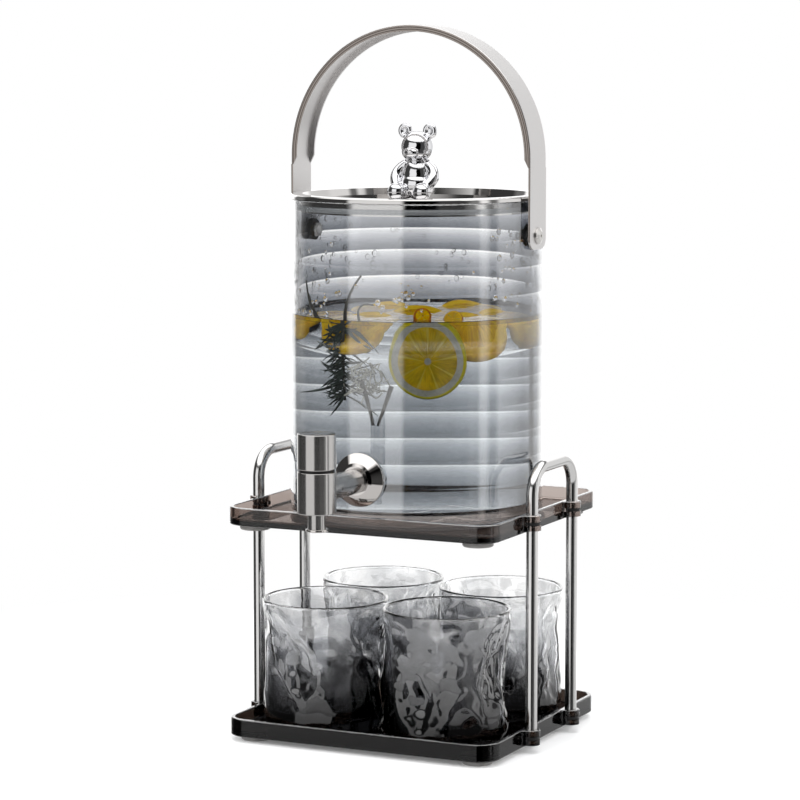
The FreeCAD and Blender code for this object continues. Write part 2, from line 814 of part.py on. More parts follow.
def make_knob():
    """The round knob that caps the valve's stem."""
    body = new_body("tap_knob")
    outline = new_sketch(body, "KnobOutline", "XZ")
    socket_top = knob_bottom + s.stem_length + s.knob_ring_play
    draw_outline(outline, [
        (0, socket_top), (s.stem_radius, socket_top), (s.stem_radius, knob_bottom),
        (s.knob_radius, knob_bottom),
        (s.knob_radius, knob_bottom + s.knob_height), (0, knob_bottom + s.knob_height),
    ])
    turn(body, outline)
    round_edges(body, "KnobEdges", s.tap_edge,
                lambda edge: edge.BoundBox.XMax > s.knob_radius.value - 1e-3 and edge.BoundBox.ZLength < 1e-3)
    place(body, 0, jar_y - s.tap_reach, jar_z)
    return body


def make_grub_screw():
    """The small socket screw that locks the arm on the shank."""
    body = new_body("tap_grub_screw")
    foot = s.shank_radius + s.rod_fit
    outline = new_sketch(body, "GrubOutline", "YZ", foot)
    draw_circle(outline, s.grub_place, s.tap_height, s.grub_radius)
    draw_circle(outline, s.grub_place, s.tap_height, s.grub_socket)
    pad(body, outline, s.tap_arm_radius - foot)
    place(body, 0, jar_y - s.tap_reach, jar_z)
    return body


# Lid
def make_lid():
    """A pressed lid: a flat rim on the glass, a shallow dish inside it and a skirt in the mouth."""
    body = new_body("lid_pan")
    top = s.jar_height + s.lid_rim
    inner_skirt = skirt_radius - s.lid_sheet
    outline = new_sketch(body, "LidOutline", "XZ")
    hole = s.lid_screw_radius + s.rod_fit
    draw_outline(outline, [
        (hole, dish_floor), (dish_radius, dish_floor), (dish_radius + s.lid_sheet, top),
        (s.jar_radius, top), (s.jar_radius, s.jar_height), (skirt_radius, s.jar_height),
        (skirt_radius, s.jar_height - s.lid_skirt), (inner_skirt, s.jar_height - s.lid_skirt),
        (inner_skirt, dish_under), (hole, dish_under),
    ])
    turn(body, outline)
    round_edges(body, "LidRoll", s.lid_roll,
                lambda edge: edge.BoundBox.XMax > s.jar_radius.value - 1e-3
                and lies_at(edge, top.value))
    place_on_jar(body)
    return body


def make_lid_seal():
    """The clear ring round the skirt that wipes the inside of the glass."""
    body = new_body("lid_seal")
    outline = new_sketch(body, "SealOutline", "XZ")
    low = s.jar_height - s.lid_skirt + s.seal_up
    outer = jar_inner - s.seal_play
    draw_outline(outline, [
        (skirt_radius, low), (outer - s.seal_play * 2, low), (outer, low + s.seal_height / 2),
        (outer - s.seal_play * 2, low + s.seal_height), (skirt_radius, low + s.seal_height),
    ])
    turn(body, outline)
    place_on_jar(body)
    return body


def make_lid_screw():
    """The screw that holds the figure, up through the dish."""
    body = new_body("lid_screw")
    outline = new_sketch(body, "LidScrewOutline", "XZ")
    under = dish_under - s.lid_washer_thick
    draw_outline(outline, [
        (0, under - s.lid_screw_head_height), (s.lid_screw_head, under - s.lid_screw_head_height),
        (s.lid_screw_head, under), (s.lid_screw_radius, under),
        (s.lid_screw_radius, under + s.lid_screw_grip), (0, under + s.lid_screw_grip),
    ])
    turn(body, outline)
    round_edges(body, "LidScrewDome", s.lid_screw_head_height * 0.6,
                lambda edge: lies_at(edge, (under - s.lid_screw_head_height).value))
    place_on_jar(body)
    return body


def make_lid_washer():
    """The flat washer under the screw's head."""
    body = new_body("lid_washer")
    outline = new_sketch(body, "LidWasherOutline", "XY", dish_under - s.lid_washer_thick)
    draw_circle(outline, 0, 0, s.lid_washer_radius)
    draw_circle(outline, 0, 0, s.lid_screw_radius + s.rod_fit)
    pad(body, outline, s.lid_washer_thick)
    place_on_jar(body)
    return body


def add_primitive(body, kind, name, sizes, centre, axis=None, angle=0):
    """Adds or cuts a ready-made solid; kind is its type's name and sizes its properties."""
    feature = body.newObject(f"PartDesign::{kind}", name)
    for prop, size in sizes.items():
        bind(feature, prop, size)
    if axis is not None:
        along = [Size.of(part) for part in axis]
        feature.Placement.Rotation = FreeCAD.Rotation(FreeCAD.Vector(*[part.value for part in along]), 1.0)
        for letter, part in zip("xyz", along):
            bind(feature, f"Placement.Rotation.Axis.{letter}", part)
        bind(feature, "Placement.Rotation.Angle", angle)
    place(feature, *centre)
    return feature


def add_ball(body, name, radius, centre):
    return add_primitive(body, "AdditiveSphere", name, {"Radius": radius}, centre)


def add_limb(body, name, radius, length, start, axis, angle):
    """Adds a round limb with a ball at its start; its own Z runs along it and angle tilts it about axis."""
    add_ball(body, f"{name}End", radius * s.bear_joint_swell, start)
    sizes = {"Radius": radius, "Height": length}
    return add_primitive(body, "AdditiveCylinder", name, sizes, start, axis, angle)


def make_bear_trunk():
    """The figure's middle: a round base, the body, the head and the muzzle with its nose."""
    body = new_body("BearTrunk")
    base = new_sketch(body, "BearBase", "XY")
    draw_circle(base, 0, 0, s.bear_base_radius)
    pad(body, base, s.bear_base)
    torso = {"Radius1": s.bear_body_half_height, "Radius2": s.bear_body_radius * 0.94,
             "Radius3": s.bear_body_radius}
    add_primitive(body, "AdditiveEllipsoid", "BearTorso", torso, (0, 0, s.bear_body_up), (0, 0, 1), 90)
    add_ball(body, "BearHead", s.bear_head_radius, (0, 0, s.bear_head_up))
    muzzle_front = s.bear_head_radius * 0.72
    muzzle_up = s.bear_head_up - s.bear_muzzle_down
    add_primitive(body, "AdditiveSphere", "BearMuzzle", {"Radius": s.bear_muzzle_radius},
                  (0, -muzzle_front, muzzle_up), (1, 0, 0), 90)
    add_ball(body, "BearNose", s.bear_nose_radius,
             (0, -muzzle_front - s.bear_muzzle_radius * 0.9, muzzle_up + s.bear_muzzle_radius * 0.45))
    return body


def make_bear_limbs():
    """The ear, arm, leg and foot of the figure's right-hand side."""
    body = new_body("BearLimbs")
    ear_up = s.bear_head_up + s.bear_ear_up
    add_primitive(body, "AdditiveTorus", "BearEarRim",
                  {"Radius1": s.bear_ear_radius - s.bear_ear_rim, "Radius2": s.bear_ear_rim},
                  (s.bear_ear_spread, 0, ear_up), (1, 0, 0), 90)
    add_primitive(body, "AdditiveCylinder", "BearEar",
                  {"Radius": s.bear_ear_radius - s.bear_ear_rim, "Height": s.bear_ear_rim},
                  (s.bear_ear_spread, s.bear_ear_rim, ear_up), (1, 0, 0), 90)
    lean, splay = s.bear_arm_lean, s.bear_leg_splay
    hand = (s.bear_hand_spread, -s.bear_arm_radius * 0.8, s.bear_hand_up)
    shoulder = (hand[0] - s.bear_arm_length * sine(lean), hand[1], hand[2] + s.bear_arm_length * cosine(lean))
    add_limb(body, "BearArm", s.bear_arm_radius, s.bear_arm_length, hand, (0, -1, 0), lean)
    add_ball(body, "BearShoulder", s.bear_arm_radius * s.bear_joint_swell, shoulder)
    hip = (s.bear_hip_spread, 0, s.bear_leg_radius * 0.9)
    add_limb(body, "BearLeg", s.bear_leg_radius, s.bear_leg_length, hip, (cosine(splay), sine(splay), 0), 90)
    add_ball(body, "BearFoot", s.bear_foot_radius,
             (s.bear_foot_spread, -s.bear_foot_forward, s.bear_foot_radius * 0.94))
    under = new_sketch(body, "BearUnderside", "XY")
    reach = s.bear_foot_spread + s.bear_foot_forward
    draw_box(under, 0, reach, -reach, reach)
    pocket(body, under, s.bear_foot_radius)
    return body


def make_bear():
    """A plain seated bear, turned to the tap's side, drilled from below for its screw."""
    limbs = make_bear_limbs()
    other_limbs = doc.addObject("Part::Mirroring", "BearOtherLimbs")
    other_limbs.Source = limbs
    other_limbs.Normal = (1, 0, 0)
    figure = doc.addObject("Part::MultiFuse", "BearFigure")
    figure.Shapes = [make_bear_trunk(), limbs, other_limbs]
    drill = doc.addObject("Part::Cylinder", "BearDrill")
    bind(drill, "Radius", s.lid_screw_radius + s.rod_fit / 2)
    bind(drill, "Height", s.lid_screw_grip)
    bear = combine("Cut", "bear_knob", figure, drill)
    place(bear, 0, jar_y, jar_z + dish_floor)
    return bear


# Handle
def make_bail():
    """The arch of the pressed strap: a channel whose turned-in flanges fade out at the arch's feet."""
    body = new_body("bail_handle")
    flange_inner = bail_outer - s.bail_flange
    arch = new_sketch(body, "BailOutline", "XZ")
    draw_arch(arch, bail_outer, flange_inner, [(bail_outer, bail_foot), (bail_inner, bail_foot)])
    pad(body, arch, s.bail_width, both_ways=True)

    hollow = new_sketch(body, "BailHollow", "XZ")
    clear_radius = flange_inner - s.bail_flange * 2
    draw_arch(hollow, bail_inner, clear_radius, [(bail_inner, bail_foot), (clear_radius, bail_foot)])
    pocket(body, hollow, s.bail_width - 2 * s.bail_sheet, both_ways=True)
    half_width = s.bail_width.value / 2
    round_edges(body, "BailArchEdges", s.bail_edge,
                lambda edge: isinstance(edge.Curve, Part.Circle)
                and abs(edge.Curve.Radius - bail_outer.value) < 1e-3
                and abs(abs(edge.BoundBox.YMax) - half_width) < 1e-3)
    place_on_jar(body)
    return body


def make_straps():
    """The two flat ends of the strap, drilled for the pivot screws, which meet the arch at its feet."""
    body = new_body("bail_straps")
    tail = pivot_height - s.bail_tail
    outline = new_sketch(body, "StrapOutline", "XZ")
    for side in (1, -1):
        draw_outline(outline, [
            (bail_inner * side, tail), (bail_outer * side, tail),
            (bail_outer * side, bail_foot), (bail_inner * side, bail_foot),
        ])
    pad(body, outline, s.bail_width, both_ways=True)
    round_edges(body, "StrapEnds", s.bail_end_round,
                lambda edge: abs(edge.BoundBox.ZMin - tail.value) < 1e-3
                and edge.BoundBox.ZLength < 1e-3 and edge.BoundBox.YLength < 1e-3)
    pins = new_sketch(body, "StrapPivotHoles", "YZ")
    draw_circle(pins, 0, pivot_height, s.pivot_radius + s.pivot_fit)
    pocket(body, pins, 2 * (bail_outer + s.bail_sheet), both_ways=True)
    place_on_jar(body)
    return body


def draw_arch(sketch, outer, inner, foot):
    """Draws an arch between two half circles; foot is the corners of its right leg, from outside in."""
    up = FreeCAD.Vector(0, 0, 1)
    centre = vector(0, spring_height)
    arcs = []
    for radius in (outer, inner):
        circle = Part.Circle(centre, up, radius.value)
        arc = sketch.addGeometry(Part.ArcOfCircle(circle, 0, math.pi), False)
        pin(sketch, arc, 3, 0, spring_height)
        index = sketch.addConstraint(Sketcher.Constraint("Radius", arc, radius.value))
        sketch.setExpression(f"Constraints[{index}]", radius.text)
        arcs.append(arc)
    for side, end in ((1, 1), (-1, 2)):
        corners = [(outer * side, spring_height)]
        corners += [(x * side, y) for x, y in foot]
        corners += [(inner * side, spring_height)]
        previous, previous_end = arcs[0], end
        for start, stop in zip(corners, corners[1:]):
            line = sketch.addGeometry(Part.LineSegment(vector(*start), vector(*stop)), False)
            sketch.addConstraint(Sketcher.Constraint("Coincident", previous, previous_end, line, 1))
            if stop is not corners[-1]:
                pin(sketch, line, 2, *stop)
            previous, previous_end = line, 2
        sketch.addConstraint(Sketcher.Constraint("Coincident", previous, 2, arcs[1], end))
        for arc in arcs:
            sketch.addConstraint(Sketcher.Constraint("Horizontal", arc, 3, arc, end))


def mirrored_pair(name, build):
    """Builds a piece on the right side of the jar and mirrors it to the left."""
    body = new_body(name)
    features = build(body)
    doc.recompute()
    mirror(body, f"{name}Mirror", features, "YZ")
    place(body, 0, jar_y, jar_z + pivot_height)
    return body


def make_pivot_screws():
    """The two domed screws that the handle swings on."""
    def build(body):
        inner_end = jar_inner - s.pivot_grommet_thick - s.pivot_nut_thick
        head = bail_outer + s.pivot_play
        outline = new_sketch(body, "PivotOutline", "XZ")
        draw_outline(outline, [
            (inner_end, 0), (inner_end, s.pivot_radius), (head, s.pivot_radius), (head, s.pivot_head_radius),
            (head + s.pivot_head_height * 0.45, s.pivot_head_radius),
            (head + s.pivot_head_height, s.pivot_head_radius * 0.55),
            (head + s.pivot_head_height, s.pivot_head_dimple),
            (head + s.pivot_head_height / 2, s.pivot_head_dimple), (head + s.pivot_head_height / 2, 0),
        ])
        return [turn(body, outline, "H_Axis")]
    return mirrored_pair("pivot_screws", build)


def make_pivot_nuts():
    """The hexagon nuts inside the jar on the pivot screws."""
    def build(body):
        outline = new_sketch(body, "PivotNutOutline", "YZ",
                             jar_inner - s.pivot_grommet_thick - s.pivot_nut_thick)
        hexagon(outline, Size.of(0), s.pivot_nut_flats)
        draw_circle(outline, 0, 0, s.pivot_radius + s.rod_fit / 2)
        return [pad(body, outline, s.pivot_nut_thick)]
    return mirrored_pair("pivot_nuts", build)


def make_pivot_rings(name, outer_radius, near, far):
    """Rings about the pivot axis on both sides of the jar."""
    def build(body):
        outline = new_sketch(body, f"{name}Outline", "YZ", near)
        draw_circle(outline, 0, 0, outer_radius)
        draw_circle(outline, 0, 0, s.pivot_radius + s.rod_fit / 2)
        return [pad(body, outline, far - near)]
    return mirrored_pair(name, build)


def make_pivot_washers():
    """The spacers outside the glass and the rubber grommets inside, each shaped to the curve of the wall."""
    spacer_blank = make_pivot_rings("PivotSpacerBlank", s.pivot_spacer_radius,
                                    s.jar_radius - s.bail_gap, bail_inner - s.pivot_play)
    grommet_blank = make_pivot_rings("PivotGrommetBlank", s.pivot_grommet_radius,
                                     jar_inner - s.pivot_grommet_thick, jar_inner + s.bail_gap)
    spacer_core = jar_core("PivotSpacerCore", s.jar_radius)
    grommet_core = jar_core("PivotGrommetCore", jar_inner)
    for core in (spacer_core, grommet_core):
        place(core, 0, jar_y, jar_z)
    return [
        combine("Cut", "pivot_spacers", spacer_blank, spacer_core),
        combine("Common", "pivot_grommets", grommet_blank, grommet_core),
    ]


# Cups
def cup_outline(inset, floor):
    """Half of a cup's upright outline, drawn in by inset all round, from its floor up."""
    return [
        (0, floor), (s.cup_foot_radius - inset, floor),
        (s.cup_belly_radius * 0.97 - inset, s.cup_heel_height + inset),
        (s.cup_belly_radius - inset, s.cup_belly_height),
        (s.cup_rim_radius - inset, s.cup_height), (0, s.cup_height),
    ]


def dented(name, inset, floor):
    """A cup's outer form, or its hollow: a turned blank pressed in by leaning folds and small round nicks."""
    body = new_body(name)
    outline = new_sketch(body, f"{name}Outline", "XZ")
    draw_outline(outline, cup_outline(inset, floor))
    turn(body, outline)
    sixth = Size.of(180) / s.fold_count
    rows = (
        ("Fold", Size.of(0), s.fold_height, s.fold_depth, s.fold_across, s.fold_tall, s.fold_lean),
        ("Counterfold", sixth, s.fold_height + s.fold_stagger, s.fold_depth * 0.8, s.fold_across,
         s.fold_tall * 0.85, -s.fold_lean),
        ("LowNick", sixth * 0.55, s.nick_low, s.nick_depth, s.nick_radius, s.nick_radius, Size.of(0)),
        ("HighNick", sixth * 1.45, s.nick_high, s.nick_depth, s.nick_radius, s.nick_radius, Size.of(0)),
    )
    for row, start, height, depth, across, tall, lean in rows:
        reach = s.cup_belly_radius + across - depth
        x, y = cosine(start), sine(start)
        sizes = {"Radius1": tall + inset, "Radius2": across + inset, "Radius3": across + inset}
        dent = add_primitive(body, "SubtractiveEllipsoid", f"{name}{row}", sizes,
                             (reach * x, reach * y, height), (x, y, 0), lean)
        ring = body.newObject("PartDesign::PolarPattern", f"{name}{row}s")
        ring.Originals = [dent]
        ring.Axis = (next(item for item in body.Origin.OriginFeatures if item.Role == "Z_Axis"), [""])
        ring.Angle = 360.0
        bind(ring, "Occurrences", s.fold_count)
        body.Tip = ring
    return body


def make_cups():
    """Four cups from one crumpled pattern, each turned to a different side."""
    form = dented("CupForm", Size.of(0), Size.of(0))
    hollow = dented("CupHollow", s.cup_wall, s.cup_base)
    pattern = combine("Cut", "CupPattern", form, hollow)
    cups = []
    for name, across, along, angle in (("cup_front_left", -1, -1, 12), ("cup_front_right", 1, -1, 155),
                                       ("cup_back_left", -1, 1, 260), ("cup_back_right", 1, 1, 75)):
        cup = doc.addObject("Part::Compound", name)
        cup.Label = name
        cup.Links = [pattern]
        cup.Placement.Rotation = FreeCAD.Rotation(FreeCAD.Vector(0, 0, 1), angle)
        place(cup, s.cup_pitch_x / 2 * across, stand_y + s.cup_pitch_y / 2 * along,
              s.foot_height + s.tray_floor)
        cups.append(cup)
    return cups


# The whole object
lower_level = s.foot_height
upper_level = s.foot_height + s.tier_height
nodes = [
    make_tray("lower_tray", lower_level, s.rod_seat),
    make_tray("upper_tray", upper_level, -s.lug_radius),
    make_feet("lower_tray_feet", lower_level - s.foot_height),
    make_feet("upper_tray_feet", upper_level - s.foot_height),
    make_rod("left_rod", -1),
    make_rod("right_rod", 1),
    make_lug_rings("lower_lug_rings", lower_level),
    make_lug_rings("upper_lug_rings", upper_level),
    make_jar(),
    make_flange(),
    make_shank(),
    make_lock_nut(),
    make_tap_body(),
    make_nozzle(),
    make_tip_ring(),
    make_knob_ring(),
    make_valve(),
    make_knob(),
    make_grub_screw(),
    make_lid(),
    make_lid_seal(),
    make_lid_screw(),
    make_lid_washer(),
    make_bear(),
    make_bail(),
    make_straps(),
    make_pivot_screws(),
    make_pivot_nuts(),
]
nodes += make_tap_washers()
nodes += make_pivot_washers()
nodes += make_cups()
doc.recompute()

for item in doc.Objects:
    if "Invalid" in item.State or "Error" in item.State:
        raise RuntimeError(f"{item.Name} failed: {item.State}")
for node in nodes:
    if node.Shape.isNull() or not node.Shape.isValid() or not node.Shape.Solids:
        raise RuntimeError(f"{node.Label} has no sound shape")

os.makedirs("parts", exist_ok=True)
for node in nodes:
    node.Shape.exportStep(f"parts/{node.Label}.step")
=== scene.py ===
"""A glass drink dispenser on a two-tier tray stand: its finishes, the drink in it and the studio round it."""
import logging
import math
import random
from dataclasses import dataclass, field
from enum import Enum
from typing import Any, Callable, Sequence

import bmesh
import bpy
from mathutils import Matrix, Vector, noise


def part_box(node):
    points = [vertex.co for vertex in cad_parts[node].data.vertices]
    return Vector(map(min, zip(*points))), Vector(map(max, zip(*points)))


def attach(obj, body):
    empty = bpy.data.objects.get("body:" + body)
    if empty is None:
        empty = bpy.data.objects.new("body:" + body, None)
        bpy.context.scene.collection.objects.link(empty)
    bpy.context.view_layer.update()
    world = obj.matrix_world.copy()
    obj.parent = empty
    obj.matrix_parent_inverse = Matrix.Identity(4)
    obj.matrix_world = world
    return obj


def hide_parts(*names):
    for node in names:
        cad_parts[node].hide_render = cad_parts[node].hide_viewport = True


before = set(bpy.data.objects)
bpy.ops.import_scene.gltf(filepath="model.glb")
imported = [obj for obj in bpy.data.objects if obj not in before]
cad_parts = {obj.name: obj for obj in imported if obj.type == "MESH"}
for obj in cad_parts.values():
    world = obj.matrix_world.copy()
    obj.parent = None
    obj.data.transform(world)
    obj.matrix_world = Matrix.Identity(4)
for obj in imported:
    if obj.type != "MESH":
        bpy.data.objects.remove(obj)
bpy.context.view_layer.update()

log = logging.getLogger("dispenser")
MM = 0.001
TURN = 2 * math.pi
WHITE = (1.0, 1.0, 1.0, 1.0)
# How far back the upright axis of the jar, the lid, the handle and the drink stands
JAR_Y = 32 * MM

Point = tuple[float, float]
Triple = tuple[float, float, float]
Colour = tuple[float, float, float, float]
Tree = bpy.types.NodeTree
Socket = bpy.types.NodeSocket


# Colours and nodes
def linear(hex_colour: str) -> Colour:
    """Turns an sRGB hex colour into the linear colour that shaders use.

    Args:
        hex_colour: Six hex digits after a hash sign.

    Returns:
        Linear red, green and blue, and an alpha of 1.
    """
    parts = [int(hex_colour[i:i + 2], 16) / 255 for i in (1, 3, 5)]
    lit = [c / 12.92 if c <= 0.04045 else ((c + 0.055) / 1.055) ** 2.4 for c in parts]
    return (lit[0], lit[1], lit[2], 1.0)


def add_node(tree: Tree, kind: str, *terms: Any, inputs: dict[str | int, Any] | None = None,
             stops: Sequence[tuple[float, str | float]] = (), out: int | str = 0, **settings: Any) -> Socket:
    """Adds a node to a tree with its settings and links, and a ramp's with its stops.

    Args:
        tree: The material's or world's node tree.
        kind: The node's type without ShaderNode before it.
        terms: For its first inputs in order, the sockets that feed them or the values to set.
        inputs: The same for other inputs, by name or number.
        stops: A ramp's places from 0 to 1, each with a hex colour or a grey level.
        out: The name or number of the output to hand back.
        settings: The node's own fields.

    Returns:
        That output's socket, or None from a tree's last node.
    """
    node = tree.nodes.new(f"ShaderNode{kind}")
    for name, value in settings.items():
        setattr(node, name, value)
    for key, value in [*enumerate(terms), *(inputs or {}).items()]:
        if isinstance(value, Socket):
            tree.links.new(value, node.inputs[key])
        else:
            node.inputs[key].default_value = value
    if stops:
        elements = node.color_ramp.elements
        while len(elements) < len(stops):
            elements.new(1.0)
        for element, (place, shade) in zip(elements, stops):
            element.position = place
            element.color = linear(shade) if isinstance(shade, str) else (shade, shade, shade, 1.0)
    return node.outputs[out] if len(node.outputs) else None


def coordinates(tree: Tree) -> tuple[Socket, Socket, Socket, Socket]:
    """Returns the place on the model, and its x, y and z."""
    place = add_node(tree, "TexCoord", out="Object")
    return (place, *add_node(tree, "SeparateXYZ", place).node.outputs)


# Finishes
class Grain(Enum):
    """The axis that a turned piece's brush marks run round, if it has any."""

    UPRIGHT = "Z"
    LEVEL = "Y"
    NONE = ""


@dataclass(frozen=True)
class Finish:
    """A material by its name; each kind of finish says how it is shaded."""

    name: str

    def shade(self, tree: Tree) -> dict[str, Socket]:
        """Builds the shader.

        Args:
            tree: The material's empty node tree.

        Returns:
            The sockets that feed the material's output, by the output's own names.
        """
        raise NotImplementedError

    def make(self) -> bpy.types.Material:
        """Makes the material, unless it is there already.

        Returns:
            The one material with this finish's name.
        """
        material = bpy.data.materials.get(self.name)
        if not material:
            material = bpy.data.materials.new(self.name)
            material.use_nodes = True
            material.node_tree.nodes.clear()
            add_node(material.node_tree, "OutputMaterial", inputs=self.shade(material.node_tree))
        return material

    def dress(self, *pieces: bpy.types.Object | str) -> None:
        """Gives the finish to every material slot of some pieces.

        Args:
            pieces: Objects, or names of the frame's nodes.
        """
        for piece in pieces:
            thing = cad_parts[piece] if isinstance(piece, str) else piece
            if not thing.material_slots:
                thing.data.materials.append(self.make())
            for slot in thing.material_slots:
                slot.material = self.make()


@dataclass(frozen=True)
class Metal(Finish):
    """Steel or plate: a mirror whose sharpness comes from how it was polished or brushed."""

    colour: str
    roughness: float
    grain: Grain = Grain.NONE
    smear: float = 0.0
    # Real brush marks are about 0.05 mm wide, too fine for the picture, so these are coarser
    line_width: float = 0.35 * MM
    line_length: float = 18 * MM
    depth: float = 0.006 * MM
    wave: float = 11 * MM

    def colour_of(self, tree: Tree) -> Socket | Colour:
        """Returns the metal's colour, or the socket of one that varies."""
        return linear(self.colour)

    def shade(self, tree: Tree) -> dict[str, Socket]:
        """Builds a metal with brush marks, or only faint polishing waves where it isn't brushed.

        Args:
            tree: The material's node tree.

        Returns:
            The surface's socket.
        """
        brushed = self.grain is not Grain.NONE
        fine, long = 1 / self.line_width, 1 / self.line_length
        scale = {Grain.UPRIGHT: (long, long, fine), Grain.LEVEL: (long, fine, long),
                 Grain.NONE: (1 / self.wave,) * 3}[self.grain]
        stretched = add_node(tree, "VectorMath", coordinates(tree)[0], scale, operation="MULTIPLY")
        marks = add_node(tree, "TexNoise", stretched,
                         inputs={"Scale": 1.0, "Detail": 3.0 if brushed else 1.0, "Roughness": 0.6})
        spread = 0.05 if brushed else 0.01
        rough = add_node(tree, "MapRange", marks, 0.0, 1.0, max(self.roughness - spread, 0.01),
                         self.roughness + spread)
        bump = add_node(tree, "Bump", inputs={"Strength": 0.35 if brushed else 0.5, "Distance": self.depth,
                                              "Height": marks})
        inputs = {"Base Color": self.colour_of(tree), "Metallic": 1.0, "Roughness": rough, "Normal": bump,
                  "Anisotropic": self.smear, "Anisotropic Rotation": 0.25}
        if self.smear:
            inputs["Tangent"] = add_node(tree, "Tangent", direction_type="RADIAL", axis=self.grain.value)
        return {"Surface": add_node(tree, "BsdfPrincipled", inputs=inputs)}


@dataclass(frozen=True)
class PressedStrip(Metal):
    """Pressed steel strip, satin on its faces; painted shade darkens the outsides of its flanges, in painted lines
    that run along the arch.
    """

    # The painted shade on the outsides of the flanges, and the lighter colour between its painted lines
    painted_shade: str = "#5A534E"
    edge: str = "#A39A94"
    half_width: float = 11.7 * MM
    arch_height: float = 341.9 * MM
    arch_radius: float = 77.5 * MM
    # The width of each painted line of shade along the arch
    shade_band: float = 1.27 * MM

    def colour_of(self, tree: Tree) -> Socket:
        """Paints shade on the outsides of the flanges where they face sideways, in three lines that run along the
        arch.

        Args:
            tree: The material's node tree.

        Returns:
            The colour's socket.
        """
        _, x, y, z = coordinates(tree)
        rise = add_node(tree, "Math", z, self.arch_height, operation="SUBTRACT")
        spoke = add_node(tree, "CombineXYZ", x, 0.0, add_node(tree, "Math", rise, 0.0, operation="MAXIMUM"))
        out = add_node(tree, "VectorMath", spoke, operation="LENGTH", out="Value")
        inward = add_node(tree, "Math", self.arch_radius, out, operation="SUBTRACT")
        shade_band = add_node(tree, "Math", add_node(tree, "Math", inward, self.shade_band, operation="DIVIDE"),
                         operation="FRACT")
        shade_lines = add_node(tree, "ValToRGB", shade_band, stops=((0.0, self.painted_shade), (0.2, self.painted_shade), (0.4, self.edge),
                                                         (0.85, self.edge), (1.0, self.painted_shade)))
        away = add_node(tree, "Math", add_node(tree, "Math", y, JAR_Y, operation="SUBTRACT"),
                        operation="ABSOLUTE")
        outside = add_node(tree, "Math", away, self.half_width - 0.3 * MM, operation="GREATER_THAN")
        # Painted shade: the outside of a flange is darkened where its face turns sideways
        facing = add_node(tree, "SeparateXYZ", add_node(tree, "TexCoord", out="Normal"), out="Y")
        side_shade_mask = add_node(tree, "MapRange", add_node(tree, "Math", facing, operation="ABSOLUTE"), 0.55, 0.85)
        share = add_node(tree, "Math", side_shade_mask, outside, operation="MULTIPLY")
        return add_node(tree, "Mix", inputs={0: share, 6: linear(self.colour), 7: shade_lines}, out=2,
                        data_type="RGBA")


@dataclass(frozen=True)
class Rubber(Finish):
    """Moulded rubber or silicone: soft, dull and slightly grained."""

    colour: str
    roughness: float
    clear: float = 0.0
    # A real moulded skin has a grain of about 0.1 mm, too fine for the picture, so this is coarser
    pore: float = 0.8 * MM

    def shade(self, tree: Tree) -> dict[str, Socket]:
        """Builds an elastomer, cloudy where some light passes through it.

        Args:
            tree: The material's node tree.

        Returns:
            The surface's socket.
        """
        skin = add_node(tree, "TexNoise", coordinates(tree)[0], inputs={"Scale": 1 / self.pore, "Detail": 2.0})
        bump = add_node(tree, "Bump", inputs={"Strength": 0.15, "Distance": 0.02 * MM, "Height": skin})
        return {"Surface": add_node(tree, "BsdfPrincipled", inputs={
            "Base Color": linear(self.colour), "Roughness": self.roughness, "IOR": 1.42,
            "Transmission Weight": self.clear, "Normal": bump})}


@dataclass(frozen=True)
class ClearBody(Finish):
    """Glass, plastic or water: clear, with a tint that deepens with the thickness that light crosses."""

    ior: float
    tint: str = "#FFFFFF"
    density: float = 0.0
    roughness: float = 0.0
    shadow: str = "#FFFFFF"
    shine_ior: float = 2.2

    def colour_of(self, tree: Tree) -> Socket | Colour:
        """Returns the surface's tint, or the socket of one that varies."""
        return WHITE

    def shine_of(self, tree: Tree) -> Socket | float:
        """Returns how much the polished skin adds to what the body mirrors, or the socket of it."""
        return 0.0

    def shade(self, tree: Tree) -> dict[str, Socket]:
        """Builds a refracting body that lets the lamps' light through to what is inside or behind it.

        Args:
            tree: The material's node tree.

        Returns:
            The surface's socket, and the volume's if the body has a tint.
        """
        body = add_node(tree, "BsdfPrincipled", inputs={
            "Base Color": self.colour_of(tree), "Roughness": self.roughness, "IOR": self.ior,
            "Transmission Weight": 1.0, "Coat Weight": self.shine_of(tree), "Coat IOR": self.shine_ior,
            "Coat Roughness": 0.0})
        shadow = add_node(tree, "LightPath", out="Is Shadow Ray")
        through = add_node(tree, "BsdfTransparent", linear(self.shadow))
        sockets = {"Surface": add_node(tree, "MixShader", shadow, body, through)}
        if self.density:
            sockets["Volume"] = add_node(tree, "VolumeAbsorption", linear(self.tint), self.density)
        return sockets


@dataclass(frozen=True)
class TrayPlastic(ClearBody):
    """Smoky moulded plastic, with a painted highlight on its rounded rim and a painted shade line along its lower
    edge.
    """

    # Heights of the painted highlight on the rim and of the painted shade at the lower edge, and that shade's colour
    painted_highlight_band: Point = (0.0, 0.0)
    painted_shade_band: Point = (0.0, 0.0)
    painted_shade: str = "#2A2523"

    def within(self, tree: Tree, edge: Point) -> Socket:
        """Marks out one edge of the tray.

        Args:
            tree: The material's node tree.
            edge: The heights between which it lies.

        Returns:
            A socket that is 1 there and 0 elsewhere.
        """
        height = coordinates(tree)[3]
        return add_node(tree, "Math", add_node(tree, "Math", height, edge[0], operation="GREATER_THAN"),
                        add_node(tree, "Math", height, edge[1], operation="LESS_THAN"), operation="MULTIPLY")

    def colour_of(self, tree: Tree) -> Socket:
        """Paints shade on the lower edge, where the shade under the tray is seen through it."""
        return add_node(tree, "ValToRGB", self.within(tree, self.painted_shade_band),
                        stops=((0.0, "#FFFFFF"), (1.0, self.painted_shade)))

    def shine_of(self, tree: Tree) -> Socket:
        """Returns 1 on the rounded rim, where its extra shine paints a highlight, and 0 elsewhere."""
        return self.within(tree, self.painted_highlight_band)


